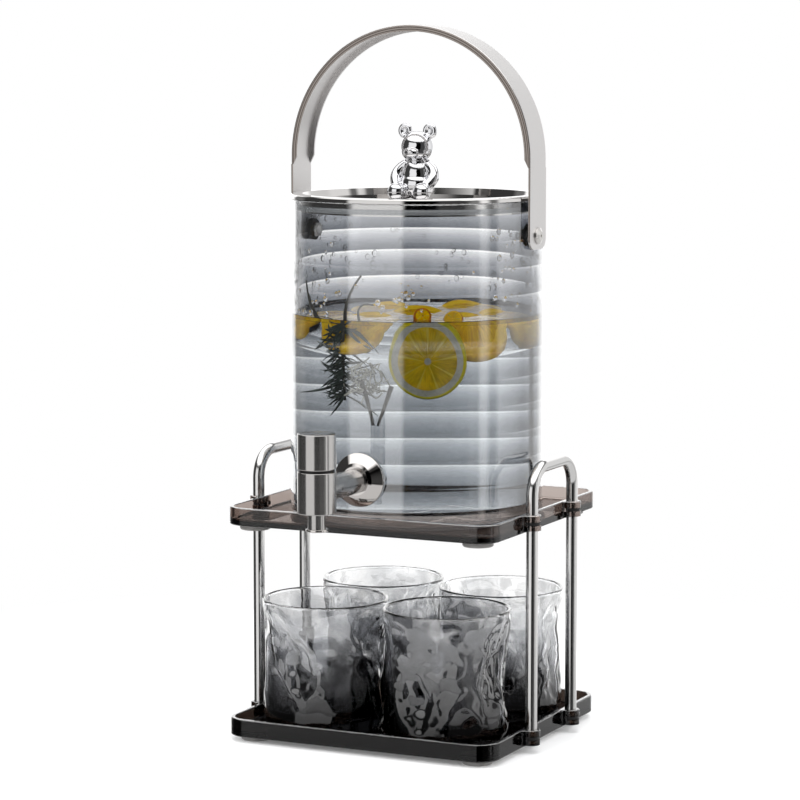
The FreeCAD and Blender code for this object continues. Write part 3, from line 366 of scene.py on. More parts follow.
@dataclass(frozen=True)
class BandedGlass(ClearBody):
    """Jar glass with light and shade painted in bands at its pressed rings: a painted white highlight line at each
    ring and painted grey shade towards the next below.
    """

    first: float = 137.2 * MM
    pitch: float = 15.9 * MM
    radius: float = 71.4 * MM
    wall: float = 3.6 * MM
    # How much of the painted ring bands shows on the jar's front half
    front_share: float = 0.1
    # Water against the rings bends light less than air does, so the painted bands show less below its level
    wet_below: float = 249.5 * MM
    wet_share: float = 0.88

    def colour_of(self, tree: Tree) -> Socket:
        """Paints each ring's slope with a highlight at its top edge and shade down from it, softly on the front and
        fully round the back.

        Args:
            tree: The material's node tree.

        Returns:
            The colour's socket.
        """
        _, _, y, z = coordinates(tree)
        above = add_node(tree, "Math", z, self.first, operation="SUBTRACT")
        ring = add_node(tree, "Math", add_node(tree, "Math", above, self.pitch, operation="DIVIDE"),
                        operation="FRACT")
        # Painted highlight at each ring's top edge, and painted shade down to the next ring
        painted_ring_shade = add_node(tree, "ValToRGB", ring, stops=(
            (0.0, "#70747B"), (0.15, "#7F8389"), (0.3, "#8F9399"), (0.5, "#A2A5AB"), (0.7, "#BEC0C5"),
            (0.92, "#E2E4E6"), (0.935, "#FFFFFF"), (1.0, "#FFFFFF")))
        behind = add_node(tree, "Math", y, JAR_Y, operation="SUBTRACT")
        back = add_node(tree, "Math", behind, self.radius, operation="DIVIDE")
        share = add_node(tree, "MapRange", back, -0.55, -0.12, self.front_share,
                         interpolation_type="SMOOTHSTEP")
        dry = add_node(tree, "MapRange", z, self.wet_below - MM, self.wet_below, self.wet_share)
        return add_node(tree, "Mix", inputs={0: add_node(tree, "Math", share, dry, operation="MULTIPLY"),
                                             6: WHITE, 7: painted_ring_shade}, out=2, data_type="RGBA")

    def shine_of(self, tree: Tree) -> Socket:
        """Tells the jar's outer face, which was fire-polished, from its pressed inner face.

        Args:
            tree: The material's node tree.

        Returns:
            A socket that is 1 outside and 0 inside.
        """
        flat = add_node(tree, "VectorMath", coordinates(tree)[0], (1.0, 1.0, 0.0), operation="MULTIPLY")
        away = add_node(tree, "VectorMath", flat, (0.0, JAR_Y, 0.0), operation="DISTANCE", out="Value")
        return add_node(tree, "Math", away, self.radius + self.wall - MM, operation="GREATER_THAN")


@dataclass(frozen=True)
class FadedGlass(ClearBody):
    """Cup glass, clear at the rim and darker towards the thick base: partly smoke in the glass, partly painted shade
    of the tray under it.
    """

    low: float = 0.0
    high: float = 77 * MM
    # Smoke drifts in the melt in patches of about this width
    patch: float = 24 * MM
    drift: float = 0.9
    # How fast the drifts gain strength with height, against the cup's own height
    drift_rise: float = 2.5
    middle: str = "#9FA0A2"
    top: str = "#D6D7D8"
    # Between these heights above the foot the shine rises; less shine lower down paints shade towards the base
    painted_shade_below: float = 6 * MM
    bright_from: float = 42 * MM

    def colour_of(self, tree: Tree) -> Socket:
        """Shades the glass by height, darker towards the base from smoke and from painted shade, with drifts of smoke
        that die out towards the base.

        Args:
            tree: The material's node tree.

        Returns:
            The colour's socket.
        """
        place, _, _, z = coordinates(tree)
        up = add_node(tree, "MapRange", z, self.low, self.high, clamp=False)
        runs = add_node(tree, "TexNoise", place,
                        inputs={"Scale": 1 / self.patch, "Detail": 1.5, "Distortion": 0.8})
        reach = add_node(tree, "Math", add_node(tree, "Math", up, self.drift_rise, operation="MULTIPLY"), 1.0,
                         operation="MINIMUM")
        drift = add_node(tree, "Math", runs, self.drift, -self.drift / 2, operation="MULTIPLY_ADD")
        share = add_node(tree, "Math", drift, reach, up, operation="MULTIPLY_ADD")
        # The near-black at the bottom of the ramp is partly painted shade of the tray under the cup
        return add_node(tree, "ValToRGB", share, stops=((0.0, "#08080A"), (0.22, "#3C3D40"), (0.5, self.middle),
                                                        (0.85, self.top), (1.0, "#FFFFFF")))

    def shine_of(self, tree: Tree) -> Socket:
        """Returns how much the wall shines: fully above, and less towards the base, which paints shade there."""
        return add_node(tree, "MapRange", coordinates(tree)[3], self.low + self.painted_shade_below,
                        self.low + self.bright_from)


@dataclass(frozen=True)
class FruitFlesh(Finish):
    """Wet citrus flesh: juice sacs that run out from the middle, with a little light passing through."""

    juicy: str
    dull: str
    sac_width: float = 1.1 * MM
    sac_length: float = 5.0 * MM
    # Where the sacs have their full width, as they fan out from the middle
    fan_radius: float = 14 * MM
    cloud: float = 6 * MM

    def shade(self, tree: Tree) -> dict[str, Socket]:
        """Builds flesh whose sacs point to the slice's middle.

        Args:
            tree: The material's node tree.

        Returns:
            The surface's socket.
        """
        place, x, y, _ = coordinates(tree)
        turn = add_node(tree, "Math", y, x, operation="ARCTAN2")
        away = add_node(tree, "VectorMath", place, operation="LENGTH", out="Value")
        sacs_at = add_node(
            tree, "CombineXYZ", add_node(tree, "Math", turn, self.fan_radius / self.sac_width, operation="MULTIPLY"),
            add_node(tree, "Math", away, self.sac_length, operation="DIVIDE"))
        sacs = add_node(tree, "TexVoronoi", sacs_at, inputs={"Scale": 1.0, "Randomness": 0.9})
        clouds = add_node(tree, "TexNoise", place, inputs={"Scale": 1 / self.cloud, "Detail": 2.0})
        mottle = add_node(tree, "Math", sacs, 0.5, add_node(tree, "Math", clouds, 0.6, operation="MULTIPLY"),
                          operation="MULTIPLY_ADD")
        return {"Surface": add_node(tree, "BsdfPrincipled", inputs={
            "Base Color": add_node(tree, "ValToRGB", mottle, stops=((0.25, self.juicy), (0.75, self.dull))),
            "Roughness": 0.25, "IOR": 1.36, "Transmission Weight": 0.12, "Subsurface Weight": 0.3,
            "Subsurface Scale": 2 * MM,
            "Normal": add_node(tree, "Bump", inputs={"Strength": 0.5, "Distance": 0.3 * MM, "Height": sacs})})}


@dataclass(frozen=True)
class PlantSkin(Finish):
    """Peel, pith, leaf or stem: a matt skin with pores or fine veins and two tones."""

    light: str
    deep: str
    pore: float
    roughness: float
    relief: float = 0.15 * MM

    def shade(self, tree: Tree) -> dict[str, Socket]:
        """Builds a skin that varies between its two tones.

        Args:
            tree: The material's node tree.

        Returns:
            The surface's socket.
        """
        place = coordinates(tree)[0]
        pores = add_node(tree, "TexNoise", place, inputs={"Scale": 1 / self.pore, "Detail": 3.0})
        wide = add_node(tree, "TexNoise", place, inputs={"Scale": 0.12 / self.pore, "Detail": 2.0})
        mottle = add_node(tree, "Math", pores, 0.4, add_node(tree, "Math", wide, 0.6, operation="MULTIPLY"),
                          operation="MULTIPLY_ADD")
        return {"Surface": add_node(tree, "BsdfPrincipled", inputs={
            "Base Color": add_node(tree, "ValToRGB", mottle, stops=((0.35, self.deep), (0.65, self.light))),
            "Roughness": self.roughness, "IOR": 1.4,
            "Normal": add_node(tree, "Bump", inputs={"Strength": 0.4, "Distance": self.relief,
                                                     "Height": pores})})}


@dataclass(frozen=True)
class PaleFloor(Finish):
    """White board: matt under the object, and plain white further out so that it has no visible edge."""

    colour: str = "#F6F6F6"
    lift: float = 0.12
    near: float = 0.26
    far: float = 0.5
    fibre: float = 2 * MM

    def shade(self, tree: Tree) -> dict[str, Socket]:
        """Builds matt board that turns to plain white for the camera and for what glass shows.

        Args:
            tree: The material's node tree.

        Returns:
            The surface's socket.
        """
        place = coordinates(tree)[0]
        fibres = add_node(tree, "TexNoise", place, inputs={"Scale": 1 / self.fibre, "Detail": 2.0})
        bump = add_node(tree, "Bump", inputs={"Strength": 0.05, "Distance": 0.05 * MM, "Height": fibres})
        board = add_node(tree, "BsdfPrincipled", inputs={
            "Base Color": linear(self.colour), "Roughness": 0.8, "Specular IOR Level": 0.1, "Normal": bump})
        ray = add_node(tree, "LightPath").node.outputs
        shown = add_node(tree, "Math", ray["Is Camera Ray"], ray["Is Transmission Ray"], operation="MAXIMUM")
        glow = add_node(tree, "Emission", WHITE, add_node(tree, "Math", shown, self.lift, operation="MULTIPLY"))
        away = add_node(tree, "VectorMath", place, operation="LENGTH", out="Value")
        edge = add_node(tree, "MapRange", away, self.near, self.far, interpolation_type="SMOOTHSTEP")
        return {"Surface": add_node(tree, "MixShader", add_node(tree, "Math", edge, shown, operation="MULTIPLY"),
                                    add_node(tree, "AddShader", board, glow),
                                    add_node(tree, "Emission", WHITE, 1.0))}


# Meshes
def new_object(name: str, mesh: bpy.types.Mesh) -> bpy.types.Object:
    """Puts a mesh into the scene with smooth shading.

    Args:
        name: The object's name.
        mesh: Its mesh.

    Returns:
        The new object.
    """
    thing = bpy.data.objects.new(name, mesh)
    bpy.context.scene.collection.objects.link(thing)
    for face in mesh.polygons:
        face.use_smooth = True
    return thing


def from_bmesh(name: str, build: bmesh.types.BMesh) -> bpy.types.Object:
    """Turns a finished bmesh into an object with outward normals.

    Args:
        name: The object's name.
        build: The bmesh, which is freed.

    Returns:
        The new object.
    """
    bmesh.ops.recalc_face_normals(build, faces=build.faces)
    mesh = bpy.data.meshes.new(name)
    build.to_mesh(mesh)
    build.free()
    return new_object(name, mesh)


def join_rows(build: bmesh.types.BMesh, low: Sequence[bmesh.types.BMVert], high: Sequence[bmesh.types.BMVert],
              steps: int) -> list[tuple[int, bmesh.types.BMFace]]:
    """Joins two rows of points round an axis by faces.

    Args:
        build: The bmesh that holds them.
        low: One row, or a single point on the axis.
        high: The other row, or a single point on the axis.
        steps: Steps round the axis.

    Returns:
        The faces, each with its step.
    """
    faces = []
    for i in range(steps):
        j = (i + 1) % steps
        corners = dict.fromkeys([low[i % len(low)], low[j % len(low)], high[j % len(high)], high[i % len(high)]])
        if len(corners) > 2:
            faces.append((i, build.faces.new(list(corners))))
    return faces


def add_lathe(build: bmesh.types.BMesh, profile: Sequence[Point], place: Matrix, steps: int,
              warp: Callable[[float, float, float], Point] | None = None) -> None:
    """Turns a profile about the upright axis and adds it to a bmesh.

    Args:
        build: The bmesh that gets the surface.
        profile: Radius and height, from the lower end of the axis round to its upper end.
        place: Where the turned body goes.
        steps: Steps round the axis.
        warp: Gives the radius and height for an angle, a radius and a height.
    """
    rows = []
    for radius, height in profile:
        row = []
        for i in range(steps if radius > 1e-7 else 1):
            angle = TURN * i / steps
            r, z = warp(angle, radius, height) if warp and radius > 1e-7 else (radius, height)
            row.append(build.verts.new(place @ Vector((r * math.cos(angle), r * math.sin(angle), z))))
        rows.append(row)
    for low, high in zip(rows, rows[1:]):
        join_rows(build, low, high, steps)


def bend(start: Vector, middle: Vector, end: Vector, steps: int = 8) -> list[Vector]:
    """Returns points on a soft bend from start to end that leans towards the middle point."""
    return [start * (1 - t) ** 2 + middle * 2 * t * (1 - t) + end * t ** 2
            for t in (i / steps for i in range(steps + 1))]


# Studio
@dataclass(frozen=True)
class Room:
    """What surrounds the object: screens and gaps round the walls, a ledge over them and a roof."""

    # From one bearing to another, in degrees from the camera's own, with the brightness between them
    screens: tuple[Triple, ...]
    ledge: float
    roof: float
    # What is left of the screens below the table's edge
    foot: float
    # How bright the white board looks in what faces down towards it
    board: float = 0.75
    # The brightness that a ramp's full white stands for
    brightest: float = 2.4
    # Heights between which one gives way to the next, as sines of the angle above the horizon
    board_to_walls: Point = (-0.33, -0.27)
    foot_to_walls: Point = (-0.226, -0.212)
    walls_to_ledge: Point = (0.42, 0.5)
    ledge_to_roof: Point = (0.56, 0.66)

    def shade(self, tree: Tree, bearing: Socket, height: Socket) -> Socket:
        """Builds the room's light.

        Args:
            tree: The world's node tree.
            bearing: The bearing from the camera's, from 0 at -180 degrees to 1 at 180.
            height: The height, from -1 straight below to 1 straight above.

        Returns:
            The background's socket.
        """
        screens = add_node(tree, "ValToRGB", bearing, stops=[
            ((angle + 180) / 360, level / self.brightest) for start, end, level in self.screens
            for angle in (start, end)])
        foot = add_node(tree, "MapRange", height, *self.foot_to_walls, self.foot, 1.0)
        board = add_node(tree, "MapRange", height, *self.board_to_walls, self.board / self.brightest, 0.0)
        walls = add_node(tree, "VectorMath", add_node(tree, "VectorMath", screens, foot, operation="MULTIPLY"),
                         board, operation="MAXIMUM")
        over = add_node(tree, "MapRange", height, *self.ledge_to_roof, self.ledge / self.brightest,
                        self.roof / self.brightest)
        share = add_node(tree, "MapRange", height, *self.walls_to_ledge)
        colour = add_node(tree, "Mix", inputs={0: share, 6: walls, 7: over}, out=2, data_type="RGBA")
        return add_node(tree, "Background", colour, self.brightest)


@dataclass(frozen=True)
class SoftBox:
    """One lamp: its name, place, width and height, and power in watts."""

    name: str
    place: Triple
    size: Point
    power: float


@dataclass
class Studio:
    """The camera at the photograph's angle, the white board and the soft lamps."""

    camera_place: Vector = field(default_factory=lambda: Vector((0.76713, -1.59716, 0.41102)))
    camera_turn: float = math.radians(25.535)
    camera_dip: float = math.radians(6.752)
    lens: float = 137.204
    board_radius: float = 0.55
    # What metal and glass mirror: white screens to both sides and dark gaps between them
    mirrored: Room = Room(
        ((-180, -150, 1.4), (-143, -128, 0.2), (-120, -67, 0.05), (-63, -15, 1.0), (-11, 16, 0.0), (21, 44, 0.06),
         (50, 56, 0.25), (60, 65, 1.2), (70, 75, 0.2), (80, 102, 1.0), (110, 140, 0.85), (150, 180, 1.4)),
        ledge=0.05, roof=1.7, foot=0.6)
    # What is seen through glass: white, with narrow dark posts that draw the edges of thick glass
    seen_through: Room = Room(
        ((-180, -142, 1.25), (-140, -136, 0.0), (-134, -92, 1.25), (-88, -80, 0.0), (-76, -44, 1.25),
         (-42, -38, 0.0), (-36, 38, 1.25), (41, 45, 0.0), (48, 66, 1.25), (68, 71, 0.1), (73, 84, 1.25),
         (87, 93, 0.0), (96, 180, 1.25)), ledge=0.5, roof=0.9, foot=1.0)
    # The dim, cool light that reaches matt pieces from all sides
    fill_colour: str = "#F6F8FA"
    fill: float = 0.45
    lamps: tuple[SoftBox, ...] = (
        SoftBox("soft_box_over", (0.1, -0.2, 1.6), (1.4, 1.4), 17),
        SoftBox("soft_box_left", (-1.1, -1.2, 0.7), (0.9, 1.2), 26),
        SoftBox("soft_box_right", (1.5, 0.3, 0.6), (0.7, 1.2), 16),
        SoftBox("soft_box_front", (1.0, -1.3, 0.8), (0.8, 0.8), 14),
        SoftBox("soft_box_back", (-0.5, 1.5, 0.7), (1.2, 1.0), 12),
    )
    lamps_aim: Triple = (0.0, 0.02, 0.22)

    def make_camera(self) -> None:
        """Sets the camera up and makes it the scene's own."""
        data = bpy.data.cameras.new("camera")
        data.lens, data.sensor_width = self.lens, 36.0
        data.clip_start, data.clip_end = 0.05, 50.0
        camera = bpy.data.objects.new("camera", data)
        camera.location = self.camera_place
        camera.rotation_euler = (math.pi / 2 - self.camera_dip, 0.0, self.camera_turn)
        bpy.context.scene.collection.objects.link(camera)
        bpy.context.scene.camera = camera

    def make_floor(self) -> None:
        """Lays the white board under the stand's feet."""
        build = bmesh.new()
        add_lathe(build, [(self.board_radius * i / 12, 0.0) for i in range(13)], Matrix.Identity(4), 96)
        floor = from_bmesh("floor", build)
        if floor.data.polygons[0].normal.z < 0:
            floor.data.flip_normals()
        PaleFloor("white_board_matt").dress(floor)
        # The mirrored room's own lower half stands in for the board wherever steel or glass mirrors it
        floor.visible_glossy = False

    def hang(self, box: SoftBox) -> None:
        """Adds a lamp that lights but isn't mirrored, because the rooms stand for it in mirrors.

        Args:
            box: The lamp's place, size and power.
        """
        data = bpy.data.lights.new(box.name, "AREA")
        data.shape, data.energy = "RECTANGLE", box.power
        data.size, data.size_y = box.size
        lamp = bpy.data.objects.new(box.name, data)
        lamp.location = box.place
        lamp.rotation_euler = (Vector(self.lamps_aim) - Vector(box.place)).to_track_quat("-Z", "Y").to_euler()
        lamp.visible_camera = lamp.visible_glossy = lamp.visible_transmission = False
        bpy.context.scene.collection.objects.link(lamp)

    def make_world(self) -> None:
        """Surrounds the object with plain white, and with the two rooms for mirrors and for clear pieces."""
        world = bpy.data.worlds.new("studio_room")
        bpy.context.scene.world = world
        world.use_nodes = True
        tree = world.node_tree
        tree.nodes.clear()
        x, y, height = add_node(tree, "SeparateXYZ", add_node(tree, "TexCoord", out="Generated")).node.outputs
        turn = add_node(tree, "Math", x, add_node(tree, "Math", y, -1.0, operation="MULTIPLY"),
                        operation="ARCTAN2")
        bearing = add_node(tree, "Math", turn, 1 / TURN, 0.5 - self.camera_turn / TURN, operation="MULTIPLY_ADD")
        bearing = add_node(tree, "Math", bearing, operation="FRACT")
        ray = add_node(tree, "LightPath").node.outputs
        mirrored = add_node(tree, "Math", ray["Glossy Depth"], 1.0, operation="MINIMUM")
        shown = add_node(tree, "Background", linear(self.fill_colour), self.fill)
        for share, light in ((ray["Is Transmission Ray"], self.seen_through.shade(tree, bearing, height)),
                             (mirrored, self.mirrored.shade(tree, bearing, height)),
                             (ray["Is Camera Ray"], add_node(tree, "Background", WHITE, 1.0))):
            shown = add_node(tree, "MixShader", share, shown, light)
        add_node(tree, "OutputWorld", shown)

    def settle(self) -> None:
        """Sets the view and the bounces that clear pieces need."""
        scene = bpy.context.scene
        scene.view_settings.view_transform = "Standard"
        scene.cycles.max_bounces = 32
        scene.cycles.transmission_bounces = 28
        scene.cycles.glossy_bounces = 8
        scene.cycles.diffuse_bounces = 4
        scene.cycles.transparent_max_bounces = 32
        scene.cycles.caustics_reflective = False
        scene.cycles.caustics_refractive = False

    def build(self) -> None:
        """Makes the whole studio."""
        self.make_camera()
        self.make_floor()
        for box in self.lamps:
            self.hang(box)
        self.make_world()
        self.settle()
        log.info("studio is set up")


# The object's own pieces
@dataclass
class Stand:
    """The two trays, their feet, the bent rods and the rubber rings in the lugs."""

    # Moulded acrylic, smoked: glossy, and brown wherever light crosses much of it; a painted highlight on its rim and
    # painted shade along its lower edge
    plastic: Finish = TrayPlastic("smoked_acrylic_moulded", ior=1.49, tint="#B9A89E", density=600.0,
                                  roughness=0.01, shadow="#8A807C", shine_ior=3.3,
                                  painted_highlight_band=(139.0 * MM, 139.7 * MM), painted_shade_band=(128.9 * MM, 129.9 * MM))
    # The lower tray is the same acrylic as the upper one; this denser, darker copy paints the shade under the cups
    # into it, so it reads nearly black
    shaded_plastic_copy: Finish = TrayPlastic("smoked_acrylic_painted_shade", ior=1.49, tint="#AFA39B", density=2100.0,
                                       roughness=0.01, shadow="#6A6462", shine_ior=2.4,
                                       painted_highlight_band=(13.4 * MM, 14.1 * MM), painted_shade_band=(3.3 * MM, 4.2 * MM))
    # Drawn stainless wire, satin polished: bright with a soft, drawn-out highlight
    rod: Finish = Metal("stainless_rod_satin", "#E0DFDE", 0.14)
    # Silicone pads: grey, dull and a little see-through at the edge
    foot: Finish = Rubber("silicone_foot_clear_grey", "#8A8886", 0.35, clear=0.4)
    # Black rubber rings: matt and dark in the slots
    ring: Finish = Rubber("rubber_ring_black", "#141414", 0.55)

    def build(self) -> None:
        """Dresses the stand."""
        self.plastic.dress("upper_tray")
        self.shaded_plastic_copy.dress("lower_tray")
        self.foot.dress("lower_tray_feet", "upper_tray_feet")
        self.rod.dress("left_rod", "right_rod")
        self.ring.dress("lower_lug_rings", "upper_lug_rings")
        log.info("stand dressed")


@dataclass
class Jar:
    """The glass jar and the fittings of the handle's pivots."""

    # Pressed soda-lime glass: clear, grey in its thickness, with light and shade painted in bands at its rings
    glass: Finish = BandedGlass("soda_lime_glass_pressed_rings", ior=1.5, tint="#D5DCE0", density=9.0,
                                shadow="#F2F4F5", shine_ior=2.0)
    # Turned screw heads, polished: a small bright mirror
    screw: Finish = Metal("stainless_screw_polished", "#D8D6D3", 0.1)
    # Stamped nuts as they come: greyer and softer than the screws
    nut: Finish = Metal("stainless_nut_plain", "#BFBDB9", 0.25)
    # Moulded black rubber: a dark spot behind the glass
    grommet: Finish = Rubber("rubber_grommet_black", "#1B1B1A", 0.45)
    # Moulded silicone: milky, so that it hardly shows between strap and glass
    spacer: Finish = Rubber("silicone_spacer_milky", "#D8D8D6", 0.4, clear=0.5)

    def build(self) -> None:
        """Dresses the jar and its pivot fittings."""
        self.glass.dress("glass_jar")
        self.screw.dress("pivot_screws")
        self.nut.dress("pivot_nuts")
        self.grommet.dress("pivot_grommets")
        self.spacer.dress("pivot_spacers")
        log.info("jar dressed")


@dataclass
class Tap:
    """The tap's turned steel pieces."""

    # Turned stainless steel, brushed round: crisp upright streaks of light and dark
    turned: Finish = Metal("stainless_turned_brushed", "#C3C1BF", 0.2, Grain.UPRIGHT, 0.75)
    # The shank, its nut and screw are turned about a level axis
    shank: Finish = Metal("stainless_shank_turned", "#C3C1BF", 0.2, Grain.LEVEL, 0.75)
    # Polished collar: a clear mirror with the faintest waves
    collar: Finish = Metal("stainless_collar_polished", "#D4D0CD", 0.05)
    # Moulded black rubber: a matt dark line under the knob
    ring: Finish = Rubber("rubber_tap_ring_black", "#101010", 0.5)
    # Moulded silicone: clear and soft, and takes the glass's own colour
    washer: Finish = Rubber("silicone_washer_clear", "#CFD2D4", 0.25, clear=0.6)

    def build(self) -> None:
        """Dresses the tap."""
        self.turned.dress("tap_body", "tap_knob", "tap_nozzle", "tap_valve")
        self.shank.dress("tap_shank", "tap_lock_nut", "tap_grub_screw")
        self.collar.dress("tap_flange", "tap_tip_ring")
        self.ring.dress("tap_knob_ring")
        self.washer.dress("tap_outer_washer", "tap_inner_washer")
        log.info("tap dressed")


@dataclass
class Lid:
    """The pressed lid, its wiping ring and the figure on it."""

    # Pressed stainless sheet, polished: a mirror with soft waves
    pan: Finish = Metal("stainless_sheet_polished", "#D6D4D2", 0.045)
    # Moulded silicone, nearly clear: a pale wet-looking line under the skirt
    seal: Finish = Rubber("silicone_seal_clear", "#E4E6E8", 0.2, clear=0.7)
    # Chromed zinc casting: the brightest and sharpest mirror on the object
    figure: Finish = Metal("zinc_casting_chromed", "#E9E9EB", 0.03)
    voxel: float = 0.3 * MM
    dish_floor: float = 316.8 * MM
    # The figure's lumps in millimetres: their middles, and how far they reach along x, y and z
    lumps: tuple[tuple[Triple, Triple], ...] = (
        ((0, 0, 14.0), (8.9, 8.2, 11.6)), ((0, -0.6, 9.0), (9.9, 9.2, 8.8)), ((0, 0, 31.3), (9.9, 9.2, 9.4)),
        ((0, -1.8, 28.4), (8.9, 7.8, 5.9)), ((0, -7.6, 28.0), (4.9, 3.7, 3.4)),
        ((0, -11.1, 29.5), (1.6, 1.2, 1.2)))
    side_lumps: tuple[tuple[Triple, Triple], ...] = (
        ((8.2, -11.2, 5.2), (5.4, 4.7, 5.4)), ((8.0, 1.4, 40.6), (3.2, 1.2, 3.2)))
    # Its arm and leg: start, the point leaned to and end, each with the thickness there
    limbs: tuple[tuple[tuple[float, ...], ...], ...] = (
        ((6.8, -0.6, 21.2, 3.0), (15.4, -1.6, 15.4, 3.9), (10.2, -6.6, 9.0, 3.2)),
        ((4.6, -2.0, 4.8, 4.2), (6.0, -6.0, 4.2, 3.9), (8.0, -9.8, 4.2, 3.7)))
    # Its ear is a ring: the ring's middle, its half width and half height, and its thickness
    ear_middle: Triple = (8.0, 0.8, 40.6)
    ear_reach: Point = (2.9, 3.1)
    ear_thick: Triple = (1.65, 1.8, 1.65)

    def add_lump(self, build: bmesh.types.BMesh, place: Sequence[float], reach: Triple) -> None:
        """Adds a rounded lump, with its middle and its reach to each side in millimetres."""
        matrix = Matrix.Translation(Vector(place) * MM) @ Matrix.Diagonal((*(r * MM for r in reach), 1.0))
        bmesh.ops.create_icosphere(build, subdivisions=4 if max(reach) > 4 else 3, radius=1.0, matrix=matrix)

    def gather_lumps(self) -> bmesh.types.BMesh:
        """Puts the seated bear together: round head with ring ears, full body, arms held in and ball feet.

        Returns:
            All lumps, still apart, standing on the dish's floor.
        """
        build = bmesh.new()
        for place, reach in self.lumps:
            self.add_lump(build, place, reach)
        for side in (-1, 1):
            for points in self.limbs:
                for spot in bend(*(Vector((x * side, y, z, thick)) for x, y, z, thick in points), 18):
                    self.add_lump(build, spot.xyz, (spot.w,) * 3)
            middle = Vector((self.ear_middle[0] * side, *self.ear_middle[1:]))
            for angle in (TURN * i / 32 for i in range(32)):
                ring = Vector((math.cos(angle) * self.ear_reach[0], 0.0, math.sin(angle) * self.ear_reach[1]))
                self.add_lump(build, middle + ring, self.ear_thick)
            for (x, y, z), reach in self.side_lumps:
                self.add_lump(build, (x * side, y, z), reach)
        return build

    def cast_figure(self) -> None:
        """Casts the bear in one skin, dresses it and puts it in place of the frame's plain one."""
        mesh = bpy.data.meshes.new("bear_lumps")
        build = self.gather_lumps()
        build.to_mesh(mesh)
        build.free()
        lumps = bpy.data.objects.new("bear_lumps", mesh)
        bpy.context.scene.collection.objects.link(lumps)
        remesh = lumps.modifiers.new("one_skin", "REMESH")
        remesh.mode, remesh.voxel_size = "VOXEL", self.voxel
        soften = lumps.modifiers.new("soft_joints", "SMOOTH")
        soften.factor, soften.iterations = 0.5, 5
        skin = bpy.data.meshes.new_from_object(lumps.evaluated_get(bpy.context.evaluated_depsgraph_get()))
        bpy.data.objects.remove(lumps)
        for vertex in skin.vertices:
            vertex.co.z = max(vertex.co.z, 0.0)
        skin.transform(Matrix.Translation((0.0, JAR_Y, self.dish_floor)))
        casting = new_object("bear_casting", skin)
        self.figure.dress(casting)
        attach(casting, "lid")
        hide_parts("bear_knob")

    def build(self) -> None:
        """Dresses the lid and casts the figure."""
        self.pan.dress("lid_pan", "lid_screw", "lid_washer")
        self.seal.dress("lid_seal")
        self.cast_figure()
        log.info("lid dressed and figure cast")


@dataclass
class Handle:
    """The strap handle."""

    # Pressed stainless strip, satin: pale, with a soft highlight along the strip
    strip: Finish = PressedStrip("stainless_strip_satin", "#DEDCDB", 0.34, wave=17 * MM, depth=0.05 * MM)

    def build(self) -> None:
        """Dresses the strap."""
        self.strip.dress("bail_handle", "bail_straps")
        log.info("handle dressed")


# Cups
class Smoke(Enum):
    """How smoky a cup's wall is: its colour half way up, and near the top."""

    DEEP = ("#7C7D81", "#ADAEB1")
    CLEAR = ("#A2A3A6", "#D6D7D9")
    PALE = ("#BEBFC1", "#ECEDEE")


@dataclass(frozen=True)
class Fold:
    """A fold or dent in a cup's wall: where its middle is, its reach across and along, its lean and depth."""

    angle: float
    level: float
    across: float
    along: float
    lean: float
    depth: float

    def share(self, angle: float, height: float, radius: float) -> Point:
        """Measures a spot on the wall from the fold's middle.

        Args:
            angle: The spot's angle.
            height: The spot's height.
            radius: The wall's radius.

        Returns:
            How far it lies across and along the fold, as shares of the fold's reach.
        """
        around = math.remainder(angle - self.angle, TURN) * radius
        up = height - self.level
        return ((around * math.cos(self.lean) + up * math.sin(self.lean)) / self.across,
                (up * math.cos(self.lean) - around * math.sin(self.lean)) / self.along)


